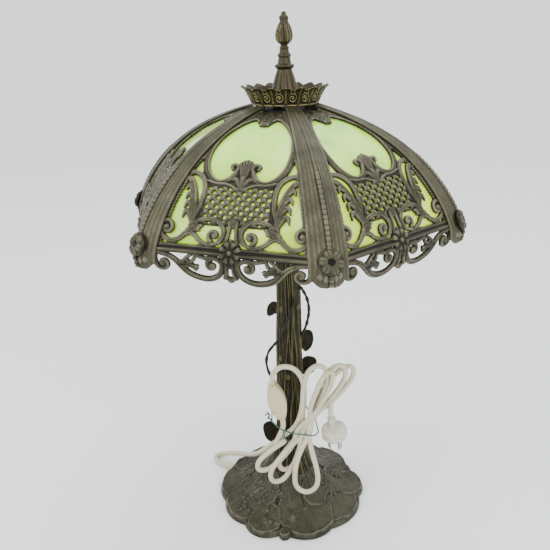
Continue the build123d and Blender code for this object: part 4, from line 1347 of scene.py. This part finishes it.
def base_relief(x, y):
    """Overlapping pads, blooms and a cluster of small flowers, then roots from the stem."""
    r, angle = np.hypot(x, y), np.arctan2(y, x)
    high = 0.4 * np.sin(x * 0.13 + 1.1) * np.sin(y * 0.11 + 0.4) + 0.25 * np.sin(x * 0.31 + y * 0.27)
    for pad in PADS:
        high = add_pad(high, x, y, *pad)
    for bloom in BLOOMS:
        high = add_bloom(high, x, y, *bloom)
    for _ in range(FLORETS):
        high = add_floret(high, x, y, rng.uniform(*FLORET_SECTOR), rng.uniform(44, 88), rng.uniform(3.6, 5.6))
    for k in range(ROOTS):
        heading = TURN * k / ROOTS + 0.05 * math.sin(k * 2.3)
        away = ((angle - heading - 0.05 * np.sin(r * 0.11 + k) + math.pi) % TURN - math.pi) * r
        end = 50 + 12 * math.sin(k * 1.7)
        fade = between(r, (20, 28), (end - 8, end + 6))
        high = np.maximum(high, 2.0 * bumps(away, 2.0) * fade)
    return high


def build_base():
    """The hollow base: a relief over the dome, down a rounded rim to its underside."""
    angle = np.linspace(-math.pi, math.pi, 420, endpoint=False)[None, :]
    share = np.linspace(0, 1, 130)[:, None]
    reach = outline_reach(angle)
    rim = reach - 0.15
    r = BASE_HOLE_R + (rim - BASE_HOLE_R) * (1 - share)
    rise_r, rise_z = np.array(BASE_RISE).T
    inward = reach - r
    x, y = r * np.cos(angle), r * np.sin(angle)
    fade = (1 - smooth_step(r, 108, 112)) * smooth_step(inward, 0, 3) * smooth_step(r, 20, 30)
    high = base_relief(x, y) * fade + 0.5 * bumps(inward - 2.2, 2.2)
    z = np.interp(r, rise_r, rise_z) + high - 4.8 * (1 - smooth_step(inward, 0.0, 3.4)) ** 2
    front = around(r, angle, np.maximum(z, BASE_LOWEST_TOP))
    back_r = np.minimum(r, reach - BASE_WALL * np.minimum(1, (1 - share) * 12))
    under = np.maximum(np.interp(np.minimum(r, 106), rise_r, rise_z) - BASE_SKIN, BASE_UNDER + 0.05)
    outermost = share < 0.012
    back = around(back_r, angle, np.where(outermost, BASE_UNDER, under))
    front = np.concatenate([around(rim, angle, BASE_UNDER), front])
    back = np.concatenate([around(reach - BASE_WALL, angle, BASE_UNDER), back])
    points, faces = shell(front, back, wrap=True)
    wear = both_walls(ridge_wear(np.pad(high, ((1, 0), (0, 0))), 3, 0.42))
    mesh = thinned(make_mesh("base_lilies", points, faces, wear), 0.55)
    add_piece("base_lilies", mesh, "root", "base_metal", "base_casting")


build_base()


# ================= vines and leaves =================
def facing(right, out, up):
    """A point from its place to the right of, out towards and above the hank's side of the stem."""
    c, s = unit(HANK_TURN)
    return (right * c + out * s, right * s - out * c, up)


VINES = {
    "vine_left": (1.7, (
        (7, 14.5, 300), (5, 18.5, 288), (-3, 18.5, 265), (-12, 16, 243), (-20, 11, 231),
        (-27, 6, 218), (-29.5, 4, 203), (-26, 4, 187), (-15, 8, 170),
    )),
    "vine_right": (1.8, (
        (12, 6, 312), (18, 4.5, 303), (23.5, 3, 290), (25.5, 2, 275),
        (23.5, 2.5, 260), (18.5, 4, 246), (12, 7, 238),
    )),
}
# Each leaf's place, long and short radius and slant, and where its stalk leaves the trunk.
LEAVES = (
    ((22.5, -3, 231), 16, 9, 86, 14), ((24.5, -5, 193), 15, 11, 74, 14),
    ((-20.5, -3, 276), 11, 6.5, 64, -13), ((-27, 3, 98), 17, 9.5, 98, -16),
)


def lily_leaf(place, long_r, short_r, slant):
    """A cupped leaf with a waved edge and veins from its stalk, facing the hank's side."""
    right, out, up = place
    rho, angle = np.linspace(0, 1, 18)[:, None], full_turn(72)
    edge = rho * (0.975 + 0.02 * np.sin(angle * 5 + up))
    a, b = long_r * edge * np.cos(angle), short_r * edge * np.sin(angle) * (1 + 0.16 * np.cos(angle))
    vein = 0.45 * bumps(((angle * 8 / TURN) % 1 - 0.5) * rho * 9, 1.0) * (1 - smooth_step(rho, 0.86, 0.98))
    cup = 1.4 * rho ** 2 + 0.35 * np.sin(angle * 3 + 1) * rho ** 2 + 0.5 * bumps(rho - 0.93, 0.08)
    c, s = unit(slant)
    side, rise = right + a * c - b * s, up + a * s + b * c
    walls = [np.stack(facing(side, out + cup + lift, rise), -1) for lift in (vein, -1.1)]
    return *shell(*walls, wrap=True), np.tile(ridge_wear(vein + cup, 2, 0.3).reshape(-1) - 0.06, 2)


def leaf_stalk(place, inner):
    """The stalk from the trunk to the middle of a leaf."""
    right, out, up = place
    stops = (inner, out, up - 5), ((inner + right) / 2, out, up - 6), (right, out + 0.6, up - 1)
    line = catmull([facing(*stop) for stop in stops], 6)
    return *tube(line, np.full(len(line), 1.3)), 0.5


def build_greenery():
    """The two knotted vines, and the leaves on their stalks."""
    for name, (radius, stops) in VINES.items():
        line = catmull([facing(*stop) for stop in stops], 14)
        along = share_along(line)
        knots = radius * (1 + 0.16 * np.sin(along * 46) + 0.22 * bumps((along * 5) % 1 - 0.5, 0.12))
        knots *= np.clip(np.minimum(along, 1 - along) * 14, 0.35, 1)
        vine = make_mesh(name, *joined((*tube(line, knots), 0.5)))
        add_piece(f"{name}_cast", vine, "root", "stem_metal", name)
    pieces = []
    for place, long_r, short_r, slant, inner in LEAVES:
        pieces += [lily_leaf(place, long_r, short_r, slant), leaf_stalk(place, inner)]
    leaves = make_mesh("lily_leaves", *joined(*pieces))
    add_piece("lily_leaves", leaves, "root", "stem_metal", "vine_leaves", "leaf_stalks")


build_greenery()


# ================= cords =================
SWITCH_CENTRE = (-17.0, 36.0, 166.0)
SWITCH_TILT = 13.8
SWITCH_LENGTH = 50.0
TIE_CENTRE = (17.0, 126.0)
EXIT_HEADING = 173.0
EXIT_REACH = 98.0
EXIT_HEIGHT = 4.9


def switch_point(along):
    """A point on the switch's long axis."""
    c, s = unit(SWITCH_TILT)
    right, out, up = SWITCH_CENTRE
    return facing(right - along * s, out, up + along * c)


def exit_point(out):
    """A point on the cord's way out of the base's rim."""
    c, s = unit(EXIT_HEADING)
    return ((EXIT_REACH + out) * c, (EXIT_REACH + out) * s, EXIT_HEIGHT)


TAIL = [
    exit_point(-8), exit_point(8), (-120, 16, 4.4), (-129, 24, 4.0), (-127, 33, 4.2),
    (-114, 37, 6.5), (-94, 33, 14), (-68, 20, 26), (-46, -8, 54), (-31, -34, 78),
]
LOWER_LEAD = [
    switch_point(-SWITCH_LENGTH / 2 + 1), switch_point(-SWITCH_LENGTH / 2 - 12),
    facing(-13, 37, 118), facing(-22, 40, 100),
]
UPPER_LEAD = [
    switch_point(SWITCH_LENGTH / 2 - 1), facing(-23.5, 36, 202), facing(-13, 36, 215),
    facing(3, 36, 214), facing(14, 36, 201), facing(18, 36, 184), facing(17.5, 36, 164),
]
PLUG_LEAD = [facing(52, 36, 166), facing(50.5, 36, 153), facing(52, 36, 140)]
# A turn's outline: shares of its reach away from the tie, and of its width to one side.
TURN_SHAPE = (
    (0.30, -0.28), (0.68, -0.50), (0.97, -0.48), (1.10, 0.0), (0.97, 0.48), (0.68, 0.50), (0.30, 0.28),
)


def turn_of_hank(heading, reach, width, out):
    """One turn: out from the tie along a heading clockwise from up, and back to it."""
    c, s = unit(heading)
    points = []
    for far, side in TURN_SHAPE:
        right = TIE_CENTRE[0] + s * reach * far + c * width * side
        up = TIE_CENTRE[1] + c * reach * far - s * width * side
        points.append(facing(right, out, up))
    return points


def tie_slot(index, front):
    """Where a strand passes through the tie, in two layers of four."""
    return facing(7.0 + 7.0 * index, 41.0 if front else 33.5, TIE_CENTRE[1])


def cord_piece(name, points, replaces, exit_at, **facts):
    """A round cord on a smooth spline through its route's control points."""
    data = bpy.data.curves.new(name, "CURVE")
    data.dimensions = "3D"
    data.bevel_depth = CORD_D / 2 * MM
    data.bevel_resolution = 5
    data.resolution_u = 10
    data.use_fill_caps = True
    spline = data.splines.new("NURBS")
    spline.points.add(len(points) - 1)
    for point, at in zip(spline.points, points):
        point.co = (*(c * MM for c in at), 1)
    spline.order_u = 3
    spline.use_endpoint_u = True
    cord = add_piece(name, data, "root", "cord_plastic", *replaces)


def build_cords():
    """The cord from the base to the switch and the one from the switch to the plug, wound into one hank."""
    to_switch = [
        *TAIL, facing(-22, 30, 98), facing(-5, 33.5, 115), tie_slot(0, False),
        *turn_of_hank(12.7, 86, 28, 38), tie_slot(2, True),
        *turn_of_hank(178.5, 79, 30, 58), tie_slot(3, True),
        *turn_of_hank(29, 93, 24, 34), tie_slot(1, True),
        *turn_of_hank(209, 78, 22, 50), tie_slot(3, False),
        *turn_of_hank(22, 84, 14, 42), tie_slot(0, True),
        *turn_of_hank(225.5, 78, 20, 44), *reversed(LOWER_LEAD),
    ]
    to_plug = [
        *UPPER_LEAD, tie_slot(1, False), *turn_of_hank(206, 61, 20, 44), tie_slot(2, False),
        *turn_of_hank(36, 96, 22, 30), *PLUG_LEAD,
    ]
    cord_piece(
        "cord_to_switch", to_switch, ["cord_tail", "switch_lead_lower", "cord_hank"], exit_point(0),
        length=1.45, far_end="fitting",
        with_pieces=["switch_front", "switch_back", "switch_rocker", "cord_bush", "tie_wire"],
    )
    cord_piece(
        "cord_to_plug", to_plug, ["switch_lead_upper", "plug_lead"], UPPER_LEAD[0],
        length=0.5, far_end="plug", with_pieces=["plug_body", "plug_pins"],
    )


build_cords()
